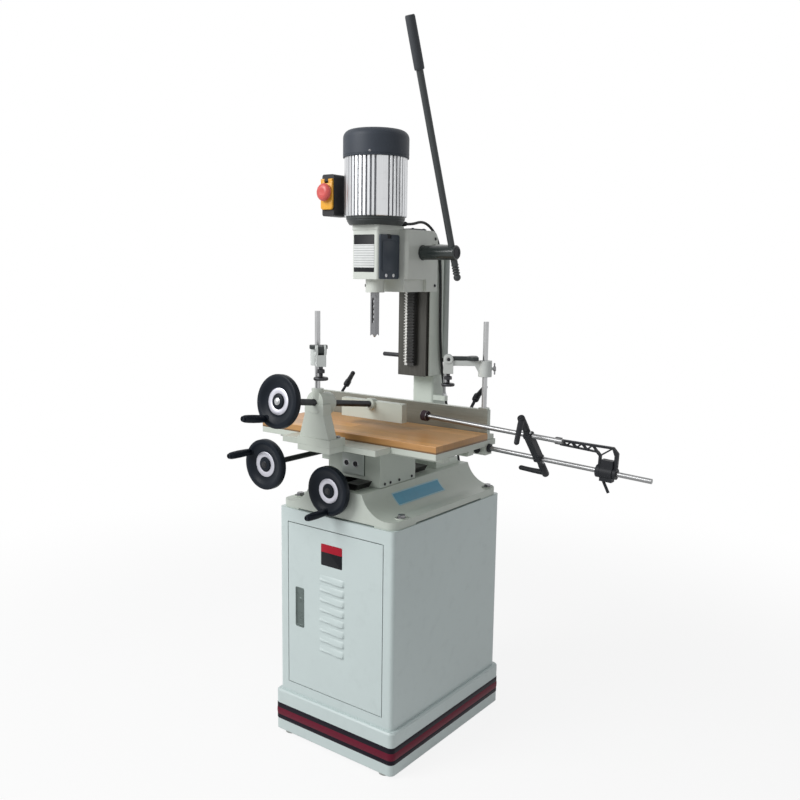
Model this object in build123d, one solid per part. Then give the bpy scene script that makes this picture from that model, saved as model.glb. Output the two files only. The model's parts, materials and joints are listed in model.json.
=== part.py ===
"""Floor-standing hollow chisel mortiser, modelled as separate pieces in millimetres.

+X is the machine's right, -Y its front with the door and handwheels, +Z up. The origin is on the floor,
under the middle of the plinth. Capitals are sizes to set; small letters are places worked out from them.
"""
import math
import os

from build123d import *

# General fits
FIT = 0.05            # radial running fit of a shaft or a pin
CLEAR = 0.4           # gap between sliding or neighbouring faces of different bodies
HOLE_CLEAR = 0.5      # radial room of a bolt in its hole
SLIDE_GAP = 1.0       # height of the running gap over the base and over the saddle
CUT = 1.0             # how far a cut or a joined piece runs past a face
TOOTH_SHARE = 0.43    # of a pinion's or rack's pitch, at the pitch line
ADDENDUM = 0.9        # tooth heights above and below the pitch line, in modules
DEDENDUM = 1.2
MESH_SLACK = 0.3      # added to a pinion's centre distance

# Cabinet
FOOT_H = 10.0
FOOT_R = 17.0
FOOT_STUD_R = 5.0
FOOT_STUD_L = 16.0
FOOT_INSET = 38.0     # from the plinth's sides
FOOT_END_INSET = 24.0  # from its front and back
PLINTH_W = 398.0
PLINTH_D = 508.0
PLINTH_H = 112.0
PLINTH_R = 14.0
PLINTH_CHAMFER = 4.0
BODY_INSET = 10.0
BODY_R = 11.0
CABINET_H = 619.0
SHEET = 2.5
TOP_PLATE = 4.0
body_w = PLINTH_W - 2 * BODY_INSET
body_d = PLINTH_D - 2 * BODY_INSET
cabinet_top = FOOT_H + CABINET_H
cabinet_front = -body_d / 2

# Door
DOOR_SIDE = 32.0      # from the cabinet's sides to the door
DOOR_BOTTOM = 142.0   # from the plinth's lower edge to the door
DOOR_HEAD = 37.0      # from the door to the cabinet's top
DOOR_GAP = 2.0
DOOR_PIN_IN = 3.0     # hinge axis, behind the door's face and inside its edge
DOOR_PIN_R = 1.75
DOOR_PIN_L = 18.0
KNUCKLE_R = 3.0
KNUCKLE_L = 30.0
LUG_H = 9.0
LUG_W = 14.0
LATCH_IN = 40.0       # the latch's middle, from the door's left edge
LATCH_UP = 215.0      # and from its lower edge
LATCH_W = 24.0
LATCH_H = 104.0
LATCH_T = 4.0
LATCH_TRAY = 14.0
LATCH_PIN_R = 1.5
LOUVRE_COUNT = 8
LOUVRE_X = -6.0
LOUVRE_W = 78.0
LOUVRE_H = 11.0
LOUVRE_PROUD = 4.0
LOUVRE_PITCH = 27.0
LOUVRE_UP = 118.0     # the lowest louvre, from the door's lower edge
door_w = body_w - 2 * DOOR_SIDE
door_low = FOOT_H + DOOR_BOTTOM
door_top = cabinet_top - DOOR_HEAD
latch_x = -door_w / 2 + LATCH_IN
latch_z = door_low + LATCH_UP
louvre_low = door_low + LOUVRE_UP

# Base casting
BASE_LIP_X = 3.0      # from the cabinet's sides to the base
BASE_LIP_Y = 5.0      # from its front and back
BASE_R = 26.0
BASE_H = 75.0
FLANGE_H = 20.0
FLARE_IN = 26.0       # foot of the flared side, from the base's edge
BASE_TOP_W = 172.0
BASE_WALL = 14.0
SLIT_H = 3.5
SLIT_IN_X = 61.0      # ends of the gaps under the base, from its corners
SLIT_IN_Y = 89.0
BOLT_IN = 18.0        # bolts, from the base's sides, front and back
BOLT_IN_FRONT = 53.0
BOLT_IN_BACK = 25.0
BOLT_R = 5.0
BOLT_HEAD_AF = 17.0
BOLT_HEAD_H = 6.5
WASHER_R = 11.0
WASHER_T = 2.0
NUT_H = 8.0
base_w = body_w - 2 * BASE_LIP_X
base_d = body_d - 2 * BASE_LIP_Y
base_top = cabinet_top + BASE_H
flange_top = cabinet_top + FLANGE_H
flare_x = base_w / 2 - FLARE_IN
slit_x = base_w / 2 - SLIT_IN_X
slit_y = base_d / 2 - SLIT_IN_Y
bolt_x = base_w / 2 - BOLT_IN
bolt_y_front = -base_d / 2 + BOLT_IN_FRONT
bolt_y_back = base_d / 2 - BOLT_IN_BACK

# Cross slide
WAY_H = 16.0
WAY_FOOT = 50.0       # half width of the dovetail at its foot
WAY_FLARE = 10.0      # how far each side leans out
WAY_IN = 17.0         # the dovetail's front end, from the base's front
WAY_BACK = 75.0
CHANNEL_W = 38.0
CHANNEL_DEPTH = 18.0
CROSS_PITCH_R = 7.0   # radius of the cross screw
CROSS_BOSS_R = 19.0
CROSS_WHEEL_OUT = 23.0  # the wheel, in front of the base
SADDLE_W = 170.0
SADDLE_FRONT = -167.0
SADDLE_D = 150.0
SADDLE_H = 88.0
NUT_L = 30.0
NUT_W = 28.0
NUT_WALL = 4.0
SADDLE_PLATE_W = 70.0
SADDLE_PLATE_H = 52.0
SADDLE_PLATE_T = 4.0
SADDLE_PLATE_DOWN = 11.0  # from the saddle's top
EAR_W = 68.0
EAR_H = 58.0
EAR_D = 100.0
way_front = -base_d / 2 + WAY_IN
cross_wheel_y = -base_d / 2 - CROSS_WHEEL_OUT
saddle_low = base_top + SLIDE_GAP
saddle_top = saddle_low + SADDLE_H
saddle_back = SADDLE_FRONT + SADDLE_D
saddle_mid = SADDLE_FRONT + SADDLE_D / 2

# Table and its drive
TABLE_L = 566.0
TABLE_FRONT = -211.0
TABLE_D = 265.0
TABLE_T = 14.5
RIB_D = 132.0
RIB_H = 17.5
TABLE_WAY_FOOT = 36.0
TABLE_WAY_FLARE = 8.0
TABLE_WAY_H = 12.0
TONGUE_W = 302.0
TONGUE_D = 58.0
LUG_TABLE_W = 104.0
LUG_TABLE_D = 107.0
WOOD_T = 18.0
WOOD_D = 227.0
WOOD_ROUND = 2.16
DRIVE_OUT = 37.0      # the drive shaft, left of the saddle
DRIVE_MODULE = 2.0
DRIVE_TEETH = 24
DRIVE_WIDTH = 18.0
DRIVE_SHAFT_R = 7.0
DRIVE_WHEEL_OUT = 39.0  # the wheel, in front of the table's lug
RACK_IN = 8.0         # the rack, from the table's left end
RACK_RIGHT = 40.0
rib_low = saddle_top + SLIDE_GAP
plate_low = rib_low + RIB_H
iron_top = plate_low + TABLE_T
wood_top = iron_top + WOOD_T
table_back = TABLE_FRONT + TABLE_D
lug_front = TABLE_FRONT - LUG_TABLE_D
drive_r = DRIVE_MODULE * DRIVE_TEETH / 2
drive_x = -SADDLE_W / 2 - DRIVE_OUT
drive_z = rib_low - drive_r
drive_wheel_y = lug_front - DRIVE_WHEEL_OUT
rack_left = -TABLE_L / 2 + RACK_IN

# Handwheels
WHEEL_R = 62.5
RIM_R = 9.0
WHEEL_WEB = 6.0
WHEEL_STEP = 2.0
RIM_STEPS = 8
WHEEL_HUB_R = 18.0
WHEEL_FACE_R = 32.0
WHEEL_HUB_BACK = 18.0
CRANK_IN = 9.5        # the handle, from the wheel's edge
HANDLE_R = 9.5
HANDLE_L = 66.0
STUD_R = 4.0
STUD_HEAD_R = 6.5
STUD_HEAD_T = 3.5
TABLE_CRANK_DEG = 150.0
CROSS_CRANK_DEG = 267.0
VISE_CRANK_DEG = 235.0
crank_r = WHEEL_R - CRANK_IN

# Vise
VISE_TILT = 7.5       # the screw leans down to the fence
VISE_UP = 102.0       # the bracket's boss, above the iron table
VISE_SCREW_R = 8.0
VISE_WHEEL_S = -144.0  # along the screw from the boss
VISE_JAW_S = 193.0
BRACKET_D = 56.0
BRACKET_FOOT_W = 104.0
BRACKET_FOOT_H = 19.0
BRACKET_WAIST_W = 60.0
BRACKET_BOSS_R = 27.0
UPRIGHT_SIDE = 4.0
UPRIGHT_FRONT = 2.0
UPRIGHT_BACK = 26.0
BRACKET_UP = 36.0     # the rod socket's top, above the boss
JAW_L = 200.0
JAW_H = 48.0
JAW_T = 20.0
JAW_LOW = 40.0        # jaw's lower edge below the screw
JAW_SOCKET = 14.0
vise_y = lug_front + BRACKET_D / 2
vise_z = iron_top + VISE_UP
bracket_top = vise_z + BRACKET_UP

# Fence
FENCE_IN = 3.0        # the fence's ends, inside the table's
FENCE_T = 14.0
FENCE_H = 76.0
FENCE_GAP = 1.5       # behind the wood top
FENCE_FOOT_D = 19.0
FENCE_FOOT_T = 12.0
ROD_BOSS_R = 14.0
ROD_BOSS_UP = 4.0     # above the fence
REAR_ROD_IN = 15.0    # from the fence's end
LOCK_IN = 62.0        # the locks, from the fence's ends
LOCK_STUD_R = 4.0
LOCK_STUD_L = 34.0
LOCK_STUD_IN = 7.5
LOCK_TILT = 45.0
LOCK_BOSS = 20.0
LEVER_HUB_R = 9.0
LEVER_HUB_H = 20.0
LEVER_L = 62.0
LEVER_TIP_R = 5.5
LEVER_RISE = 8.0      # the arm's slope away from its hub
FENCE_LOCK_TURN = -45.0
fence_half = TABLE_L / 2 - FENCE_IN
fence_front = TABLE_FRONT + WOOD_D + FENCE_GAP
fence_back = fence_front + FENCE_T
fence_top = iron_top + FENCE_H
lock_x = fence_half - LOCK_IN
rear_rod_x = fence_half - REAR_ROD_IN
rear_rod_y = fence_front + FENCE_T / 2

# Hold-downs
HOLD_ROD_R = 6.5
REAR_ROD_UP = 220.0   # the rods' tops, above the fence and above the bracket
FRONT_ROD_UP = 184.0
FRONT_ROD_FORWARD = 13.0  # from the vise's boss
ROD_SET = 24.0        # depth of a rod in its socket
REAR_ARM_UP = 103.0   # the arms, above the fence and above the bracket
FRONT_ARM_UP = 76.0
REAR_ARM_TURN = 37.0  # the arms, about their rods from the left
FRONT_ARM_TURN = 137.0
ARM_REACH = 92.0
ARM_HUB_R = 17.0
ARM_HUB_H = 40.0
ARM_W = 16.0
ARM_T = 13.0
ARM_KNEE = 26.0       # from the rod to where the arm's underside falls to the hub
ARM_END_R = 12.0
ARM_END_W = 22.0      # the end's two cheeks and the slot between them
ARM_SLOT_W = 14.0
ARM_END_LOW = 13.0
ARM_PIN_UP = 3.0      # the cam's pin, above the arm
FOOT_STEM_R = 5.0
FOOT_STEM_IN = 13.0
FOOT_PAD_R = 17.0
FOOT_PAD_T = 8.0
FOOT_DROP = 17.0
FOOT_COLLAR_R = 10.0
FOOT_COLLAR_H = 8.5
FOOT_TRAVEL = 6.0
CAM_PIN_R = 4.0
CAM_R = 9.6
CAM_BAR_T = 10.0
CAM_LEVER_L = 74.0
CAM_PADDLE_W = 42.0   # the lever's wide end
CAM_PADDLE_L = 14.0
CAM_FLARE_L = 14.0
THUMB_R = 6.0
rear_rod_top = fence_top + REAR_ROD_UP
front_rod_top = bracket_top + FRONT_ROD_UP
front_rod_y = vise_y - FRONT_ROD_FORWARD
rear_arm_z = fence_top + REAR_ARM_UP
front_arm_z = bracket_top + FRONT_ARM_UP

# Work stops
STOP_DROOP = 2.6      # both rods lean down to the right
STOP_IN = 32.0        # the lower rod, from the table's back edge
STOP_DOWN = 5.5       # and below its plate
STOP_ROD_R = 6.0
STOP_SET = 42.0
STOP_LOWER_L = 425.0
STOP_UPPER_IN = -148.0
STOP_UPPER_OUT = 230.0
STOP_BOSS_W = 30.0
STOP_BOSS_DROP = 17.0
STOP_BOSS_WALL = 6.0
LINK_S = 142.0
LINK_FORWARD = 61.0
LINK_UP = 66.0
LINK_R = 11.0
LINK_W = 18.0
LINK_END = 23.0
LINK_HUB_H = 44.0     # its levers' hubs, the arms near their ends
LINK_ARM_UP = 35.0
LINK_ARM_L = 74.0
LINK_UPPER_TURN = -75.0
LINK_LOWER_TURN = 180.0
STOP_BLOCK_R = 13.0
STOP_BLOCK_T = 16.0
FLIP_S = 304.0        # the clamp's left face, along the rod
FLIP_W = 30.0
FLIP_R = 15.0
FLIP_BLOCK_D = 18.0   # the clamp's block, between the arm's ears
FLIP_BLOCK_UP = 29.0
FLIP_BLOCK_DOWN = 21.0
FLIP_SCREW_R = 3.5
FLIP_SCREW_L = 32.0
FLIP_SCREW_IN = 6.0   # from the clamp's left face
FLIP_SCREW_TURN = -30.0
FLIP_EAR = 10.0       # the arm's ears on the rod, left and right of the clamp
FLIP_EAR_OUT = 8.0
FLIP_EAR_OUT_R = 13.0
FLIP_UP = 58.5        # the arm's upper chord, over the rod
FLIP_FALL = 4.0       # and how much lower it is at its tip
FLIP_CORNER = 10.0
FLIP_DEEP = 10.0      # between the chords at the tip
FLIP_DEEPER = 15.0    # and at the arm's knee
FLIP_REACH = 106.0
FLIP_KNEE = 13.0      # from the clamp to the lower chord's knee
FLIP_T = 9.0
FLIP_CHORD = 5.0
FLIP_WEB = 3.2
FLIP_CELLS = 7
FLIP_PAD = 15.0
FLIP_PAD_H = 16.0
stop_y = table_back - STOP_IN
stop_z = plate_low - STOP_DOWN

# Column and gas spring
COLUMN_W = 92.0
COLUMN_FRONT = 76.0
COLUMN_WAY_T = 18.0
COLUMN_WAY_IN = 8.0
COLUMN_D = 66.0
COLUMN_H = 329.0
COLUMN_R = 5.0
POST_H = 257.0        # from the base to the column's wide part
POST_W = 70.0
POST_FRONT = 129.0
POST_D = 67.0
POST_R = 8.0
POST_LAP = 20.0       # the post's length inside the wide part
POST_FOOT_W = 130.0
POST_FOOT_D = 106.0
POST_FOOT_H = 18.0
RACK_W = 30.0
RACK_UP = 29.0        # the feed rack's lower end, above that of the wide part
STOP_PIN_R = 4.5
STOP_PIN_L = 68.0
STOP_PIN_UP = 50.0
GAS_X = 66.0
GAS_BACK = 64.0       # behind the column's front
GAS_TUBE_R = 8.0
GAS_ROD_R = 4.0
GAS_TUBE_UP = 110.0   # the tube's top, above the head's lower edge
GAS_TUBE_L = 300.0
GAS_TUBE_PLUG = 15.0
GAS_ROD_IN = 110.0
GAS_LUG = 14.0
GAS_LUG_DOWN = 56.0   # the lug's top, below the column's wide part
column_half = COLUMN_W / 2
column_back = COLUMN_FRONT + COLUMN_WAY_T
column_low = base_top + POST_H
column_top = column_low + COLUMN_H
rack_low = column_low + RACK_UP
stop_pin_z = column_low + STOP_PIN_UP
gas_y = COLUMN_FRONT + GAS_BACK
gas_lug_top = column_low - GAS_LUG_DOWN

# Head
HEAD_W = 134.0
HEAD_D = 136.0
HEAD_H = 158.0
HEAD_HANG = 100.0     # the head's lower edge, below the column's top
HEAD_REAR_R = 24.0
HEAD_R = 10.0
HEAD_STEP_IN = 8.0    # the head's right side is cut back below the nose
HEAD_STEP_D = 85.0
SPINDLE_OUT = 163.0   # the spindle, in front of the column
NOSE_W = 82.0
NOSE_OUT = 42.0       # the nose's face, in front of the spindle
NOSE_UP = 32.0        # the nose, above the head's lower edge
NOSE_H = 121.0
NOSE_R = 6.0
NOSE_FLOOR = 8.0
CAP_H = 13.0
CAP_OUT = 1.5
CAP_T = 6.0
HOLDER_R = 24.0
HOLDER_H = 33.0
CHUCK_BAY_R = 31.0
COVER_IN = 5.0        # the cover's front edge, behind the nose's face
COVER_OFF = 4.0       # and its back edge, in front of the head
COVER_UP = 1.0
COVER_H = 110.0
COVER_T = 4.0
COVER_LAP = 12.0
NOTCH_W = 16.0
NOTCH_H = 10.0
GAS_ARM_T = 14.0
GAS_ARM_IN = 12.0
GAS_ARM_LAP = 20.0
head_back = column_back
head_front = head_back - HEAD_D
head_low = column_top - HEAD_HANG
head_top = head_low + HEAD_H
spindle_y = COLUMN_FRONT - SPINDLE_OUT
nose_front = spindle_y - NOSE_OUT
nose_low = head_low + NOSE_UP
nose_top = nose_low + NOSE_H
cap_top = nose_top + CAP_H
holder_low = nose_low - HOLDER_H
cover_front = nose_front + COVER_IN
cover_back = head_front - COVER_OFF
cover_low = nose_low + COVER_UP
cover_top = cover_low + COVER_H
gas_tube_top = head_low + GAS_TUBE_UP
gas_tube_low = gas_tube_top - GAS_TUBE_L

# Feed pinion and lever
FEED_MODULE = 2.5
FEED_TEETH = 28
FEED_WIDTH = 28.0
FEED_SHAFT_R = 10.0
FEED_SHAFT_LEFT = 19.0  # the shaft's left end, past the rack
FEED_OUT = 51.0       # the pinion's axis, in front of the column
FEED_UP = 101.0       # and above the head's lower edge
HUB_R = 18.5
HUB_L = 106.0
HUB_CHAMFER = 2.0
LEVER_IN = 13.0       # the lever, from the hub's outer end
LEVER_LEAN = 20.5
LEVER_SEAT = 10.0     # from the shaft's end to the lever
FEED_LEVER_L = 562.0
FEED_LEVER_R = 8.5
FEED_STUB_L = 66.0
FEED_STUB_R = 9.5
FEED_STUB_NECK = 12.0
GRIP_R = 12.0
GRIP_L = 119.0
GRIP_SWELL = 8.0
GRIP_END = 10.0
feed_r = FEED_MODULE * FEED_TEETH / 2
feed_y = COLUMN_FRONT - FEED_OUT
feed_z = head_low + FEED_UP
feed_pitch_y = feed_y + feed_r + MESH_SLACK
hub_end = HEAD_W / 2 + HUB_L
lever_x = hub_end - LEVER_IN
feed_shaft_end = lever_x - FEED_LEVER_R - LEVER_SEAT

# Motor and spindle
MOTOR_R = 72.0
MOTOR_H = 150.0
MOTOR_WALL = 12.0
FIN_H = 7.0
FIN_COUNT = 40
FIN_T = 4.2
FIN_ROOT = 3.0
BELL_H = 14.0
BELL_TAPER = 6.0
BELL_RIM = 5.0
END_PLATE = 10.0
FAN_COVER_OUT = 3.5   # past the fins
FAN_COVER_LAP = 7.0   # over the motor's upper end
FAN_COVER_H = 73.0
FAN_COVER_T = 2.0
FAN_COVER_ROUND = 16.0
VENT_COUNT = 16
VENT_W = 5.0
ROTOR_GAP = 14.0
ROTOR_LOW = 20.0
ROTOR_HEAD = 16.0
SHAFT_R = 9.0
FAN_ROOM = 16.5       # from the blades' tips to the cover's outside
FAN_BLADES = 8
FAN_BLADE_T = 3.0
FAN_UP = 14.0
FAN_H = 30.0
CHUCK_R = 21.0
CHUCK_DOWN = 30.0     # the chuck's top, below the nose's cap
CHUCK_L = 84.0
CHUCK_TAPER = 22.0
CHUCK_SOCKET = 20.0
AUGER_SET = 30.0
CHISEL_SIDE = 16.0
CHISEL_L = 111.0      # below its holder
CHISEL_SHANK_R = 9.5
CHISEL_SHANK_L = 34.0
AUGER_R = 5.6
AUGER_POINT_R = 1.0
CHISEL_BORE_R = 6.2
CHISEL_SLOT_W = 7.0
CHISEL_SLOT_LOW = 34.0
CHISEL_CROWN = 7.0
AUGER_TIP = 1.5
fin_r = MOTOR_R + FIN_H
motor_bore = MOTOR_R - MOTOR_WALL
bell_low_r = MOTOR_R - BELL_TAPER
bell_top = cap_top + BELL_H
motor_top = bell_top + MOTOR_H
fan_cover_r = fin_r + FAN_COVER_OUT
fan_cover_low = motor_top - FAN_COVER_LAP
fan_cover_top = fan_cover_low + FAN_COVER_H
rotor_r = motor_bore - ROTOR_GAP
fan_r = fan_cover_r - FAN_ROOM
fan_low = motor_top + FAN_UP
chuck_top = cap_top - CHUCK_DOWN
chuck_low = chuck_top - CHUCK_L
chisel_tip = holder_low - CHISEL_L

# Switch
SWITCH_OFF = 5.0      # from the fins
SWITCH_W = 39.0
SWITCH_OUT = 63.0     # the box's face, in front of the spindle
SWITCH_D = 62.0
SWITCH_UP = 8.0       # above the motor's lower end
SWITCH_H = 103.0
SWITCH_R = 6.0
LID_T = 7.0
LID_W = 38.0
LID_UP = 16.0
LID_H = 76.0
LID_PIN_R = 2.0
LID_LUG_W = 12.0
BUTTON_R = 20.0
BUTTON_T = 12.0
BUTTON_STEM_R = 10.0
BUTTON_GAP = 6.0
BUTTON_UP = 42.0      # above the lid's lower edge
PAD_W = 44.0
PAD_UP = 14.0
PAD_H = 76.0
switch_right = -fin_r - SWITCH_OFF
switch_left = switch_right - SWITCH_W
switch_mid = (switch_left + switch_right) / 2
switch_front = spindle_y - SWITCH_OUT
switch_low = bell_top + SWITCH_UP
lid_low = switch_low + LID_UP
lid_top = lid_low + LID_H
button_z = lid_low + BUTTON_UP
pad_low = switch_low + PAD_UP

# Mains cord
CORD_R = 3.6
GLAND_R = 6.4
GLAND_L = 26.0
GLAND_SET = 8.0
GLAND_LIP = 1.5
GLAND_X = 34.0
GLAND_DOWN = 7.0      # below the motor's lower end
CORD_HEAD = [         # from the column's right side and front, at the gland's height
    (-10.0, -10.0, 11.0),
    (-5.0, 27.0, -6.0),
    (3.5, 48.0, -43.0),
    (4.4, 55.0, -97.0),
    (4.4, 58.6, -155.0),
    (4.4, 60.0, -213.0),
    (4.4, 61.0, -271.0),
    (4.4, 65.0, -327.0),
    (4.2, 73.0, -381.0),
    (4.0, 84.0, -433.0),
    (4.0, 98.0, -483.0),
]
CORD_BASE = [         # from the cabinet's back, at the height of the base's top
    (50.0, -52.0, 128.0),
    (49.6, -30.0, 82.0),
    (48.6, -7.0, 36.0),
    (47.4, 10.0, -12.0),
    (47.4, 20.0, -64.0),
]
CORD_FLOOR = [        # from the cabinet's back, above the floor
    (49.0, 24.0, 582.0),
    (51.0, 26.0, 524.0),
    (52.6, 27.0, 466.0),
    (53.2, 27.4, 408.0),
    (52.8, 27.5, 350.0),
    (51.2, 27.8, 292.0),
    (48.4, 28.4, 234.0),
    (44.6, 30.0, 178.0),
    (39.6, 33.0, 124.0),
    (32.0, 38.0, 76.0),
    (19.0, 45.0, 38.0),
    (-4.0, 52.0, 14.0),
    (-38.0, 58.0, 5.0),
    (-78.0, 61.0, 4.0),
    (-118.0, 62.0, 9.4),
    (-156.0, 62.0, 9.4),
]
CORD_BEND = 0.45      # share of a run that is rounded at each of its ends
PLUG_L = 42.0
PLUG_R = 12.0
PRONG_R = 2.2
PRONG_L = 18.0
PRONG_GAP = 19.0
gland_y = math.sqrt(bell_low_r ** 2 - GLAND_X ** 2)
gland_z = bell_top - GLAND_DOWN

# Turns a sketch's x to Y, its y to Z and its normal to X
SIDEWAYS = Rot(0, 0, 90) * Rot(90, 0, 0)
NODES = {}


def keep(name, piece):
    """Note a finished piece under its node's name."""
    NODES[name] = piece


def block(x0, x1, y0, y1, z0, z1):
    """A box between two corners."""
    return Pos((x0 + x1) / 2, (y0 + y1) / 2, (z0 + z1) / 2) * Box(x1 - x0, y1 - y0, z1 - z0)


def rod_x(radius, x0, x1, y, z):
    """A cylinder along X."""
    return Pos((x0 + x1) / 2, y, z) * Rot(0, 90, 0) * Cylinder(radius, x1 - x0)


def rod_y(radius, y0, y1, x, z):
    """A cylinder along Y."""
    return Pos(x, (y0 + y1) / 2, z) * Rot(90, 0, 0) * Cylinder(radius, y1 - y0)


def rod_z(radius, z0, z1, x, y):
    """A cylinder along Z."""
    return Pos(x, y, (z0 + z1) / 2) * Cylinder(radius, z1 - z0)


def slab(width, depth, corner, z0, z1):
    """An upright prism with rounded corners, centred on the Z axis."""
    return Pos(0, 0, z0) * extrude(RectangleRounded(width, depth, corner), z1 - z0)


def prism_z(points, z0, z1):
    """A polygon in plan, raised between two heights."""
    return Pos(0, 0, z0) * extrude(make_face(Polyline(*points, close=True)), z1 - z0)


def prism_y(points, y0, y1):
    """A polygon of (x, z) points, drawn out along Y."""
    face = make_face(Polyline(*points, close=True))
    return Pos(0, y1, 0) * Rot(90, 0, 0) * extrude(face, y1 - y0)


def prism_x(points, x0, x1):
    """A polygon of (y, z) points, drawn out along X."""
    face = make_face(Polyline(*points, close=True))
    return Pos(x0, 0, 0) * SIDEWAYS * extrude(face, x1 - x0)


def turned(points):
    """A solid of revolution about Z from (radius, height) points."""
    face = make_face(Polyline(*points, close=True))
    return revolve(Rot(90, 0, 0) * face, Axis.Z)


def hexagon(across_flats, z0, z1):
    """A hexagonal prism on the Z axis."""
    radius = across_flats / math.sqrt(3)
    return Pos(0, 0, z0) * extrude(RegularPolygon(radius, 6), z1 - z0)


def gear(module, teeth, width):
    """A spur gear on Z with a tooth gap on +X, its teeth cut thin for backlash."""
    radius = module * teeth / 2
    half = TOOTH_SHARE * math.pi * module / 2
    tip_r = radius + ADDENDUM * module
    root_r = radius - DEDENDUM * module
    corners = [(root_r, -1.15 * half), (tip_r, -0.5 * half), (tip_r, 0.5 * half), (root_r, 1.15 * half)]
    points = []
    for tooth in range(teeth):
        middle = (tooth + 0.5) * 2 * math.pi / teeth
        for r, side in corners:
            angle = middle + side / r
            points.append((r * math.cos(angle), r * math.sin(angle)))
    return prism_z(points, -width / 2, width / 2)


def rack_outline(module, start, end, middle, back):
    """(along, height) points of a rack with a tooth at middle, pitch line at 0 and a flat back below."""
    pitch = math.pi * module
    half = TOOTH_SHARE * pitch / 2
    tip = ADDENDUM * module
    root = -DEDENDUM * module
    first = math.ceil((start + half * 2 - middle) / pitch)
    last = math.floor((end - half * 2 - middle) / pitch)
    points = [(start, back), (start, root)]
    for tooth in range(first, last + 1):
        at = middle + tooth * pitch
        points += [(at - 1.4 * half, root), (at - 0.5 * half, tip), (at + 0.5 * half, tip),
                   (at + 1.4 * half, root)]
    return points + [(end, root), (end, back)]


def strut(start, end, width, half):
    """A flat bar with round ends between two points of the x-z plane, half its thickness on either side."""
    run = math.hypot(end[0] - start[0], end[1] - start[1])
    side_x = -(end[1] - start[1]) / run * width / 2
    side_z = (end[0] - start[0]) / run * width / 2
    bar = prism_y([(start[0] + side_x, start[1] + side_z), (start[0] - side_x, start[1] - side_z),
                   (end[0] - side_x, end[1] - side_z), (end[0] + side_x, end[1] + side_z)], -half, half)
    return bar + rod_y(width / 2, -half, half, *start) + rod_y(width / 2, -half, half, *end)


def pebble_lever(length, hub_r, hub_h, tip_r, arm_up, rise):
    """A ratchet lever: hub on Z from 0 to hub_h, its arm along +X from arm_up, rising to a rounded tip."""
    hub = Pos(0, 0, hub_h / 2) * Cylinder(hub_r, hub_h)
    bar = turned([(0, 0), (tip_r * 0.8, 0), (tip_r, length - tip_r * 1.2),
                  (tip_r * 0.7, length - tip_r * 0.3),
                  (tip_r * 0.3, length), (0, length)])
    return hub + Pos(0, 0, arm_up) * Rot(0, 90 - rise, 0) * bar


def cabinet():
    """Cabinet of folded sheet with its stepped plinth, and the four levelling feet."""
    body = slab(body_w, body_d, BODY_R, FOOT_H, cabinet_top)
    skirt = slab(PLINTH_W, PLINTH_D, PLINTH_R, FOOT_H, FOOT_H + PLINTH_H)
    rim = skirt.faces().sort_by(Axis.Z)[-1].edges()
    skirt = chamfer(rim, PLINTH_CHAMFER)
    hollow = slab(body_w - 2 * SHEET, body_d - 2 * SHEET, BODY_R - SHEET, FOOT_H + SHEET,
                  cabinet_top - TOP_PLATE)
    shell = body + skirt - hollow
    half = door_w / 2 + DOOR_GAP
    shell -= block(-half, half, cabinet_front - CUT, cabinet_front + SHEET + CUT, door_low - DOOR_GAP,
                   door_top + DOOR_GAP)
    for x in (-bolt_x, bolt_x):
        for y in (bolt_y_front, bolt_y_back):
            shell -= rod_z(BOLT_R + HOLE_CLEAR, cabinet_top - TOP_PLATE - CUT, cabinet_top + CUT, x, y)
    foot_x = PLINTH_W / 2 - FOOT_INSET
    foot_y = PLINTH_D / 2 - FOOT_END_INSET
    feet = []
    for x in (-foot_x, foot_x):
        for y in (-foot_y, foot_y):
            shell -= rod_z(FOOT_STUD_R, FOOT_H - CUT, FOOT_H + SHEET + CUT, x, y)
            pad = Pos(x, y, 0) * turned([(0, 0), (FOOT_R, 0), (FOOT_R, FOOT_H * 0.5), (FOOT_R * 0.6, FOOT_H),
                                         (0, FOOT_H)])
            feet.append(pad + rod_z(FOOT_STUD_R, FOOT_H, FOOT_H + FOOT_STUD_L, x, y))
    pin_x = door_w / 2 - DOOR_PIN_IN
    pin_y = cabinet_front + DOOR_PIN_IN
    lug_y = cabinet_front + SHEET + KNUCKLE_R * 2
    for z0, z1, end in ((door_low - DOOR_GAP - LUG_H, door_low - DOOR_GAP, door_low + DOOR_PIN_L),
                        (door_top + DOOR_GAP, door_top + DOOR_GAP + LUG_H, door_top - DOOR_PIN_L)):
        shell += block(pin_x - LUG_W / 2, pin_x + LUG_W / 2, cabinet_front + SHEET / 2, lug_y, z0, z1)
        shell += rod_z(DOOR_PIN_R, min(z0, end), max(z1, end), pin_x, pin_y)
    keep("cabinet", shell)
    keep("levelling_feet", Compound(feet))


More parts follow.
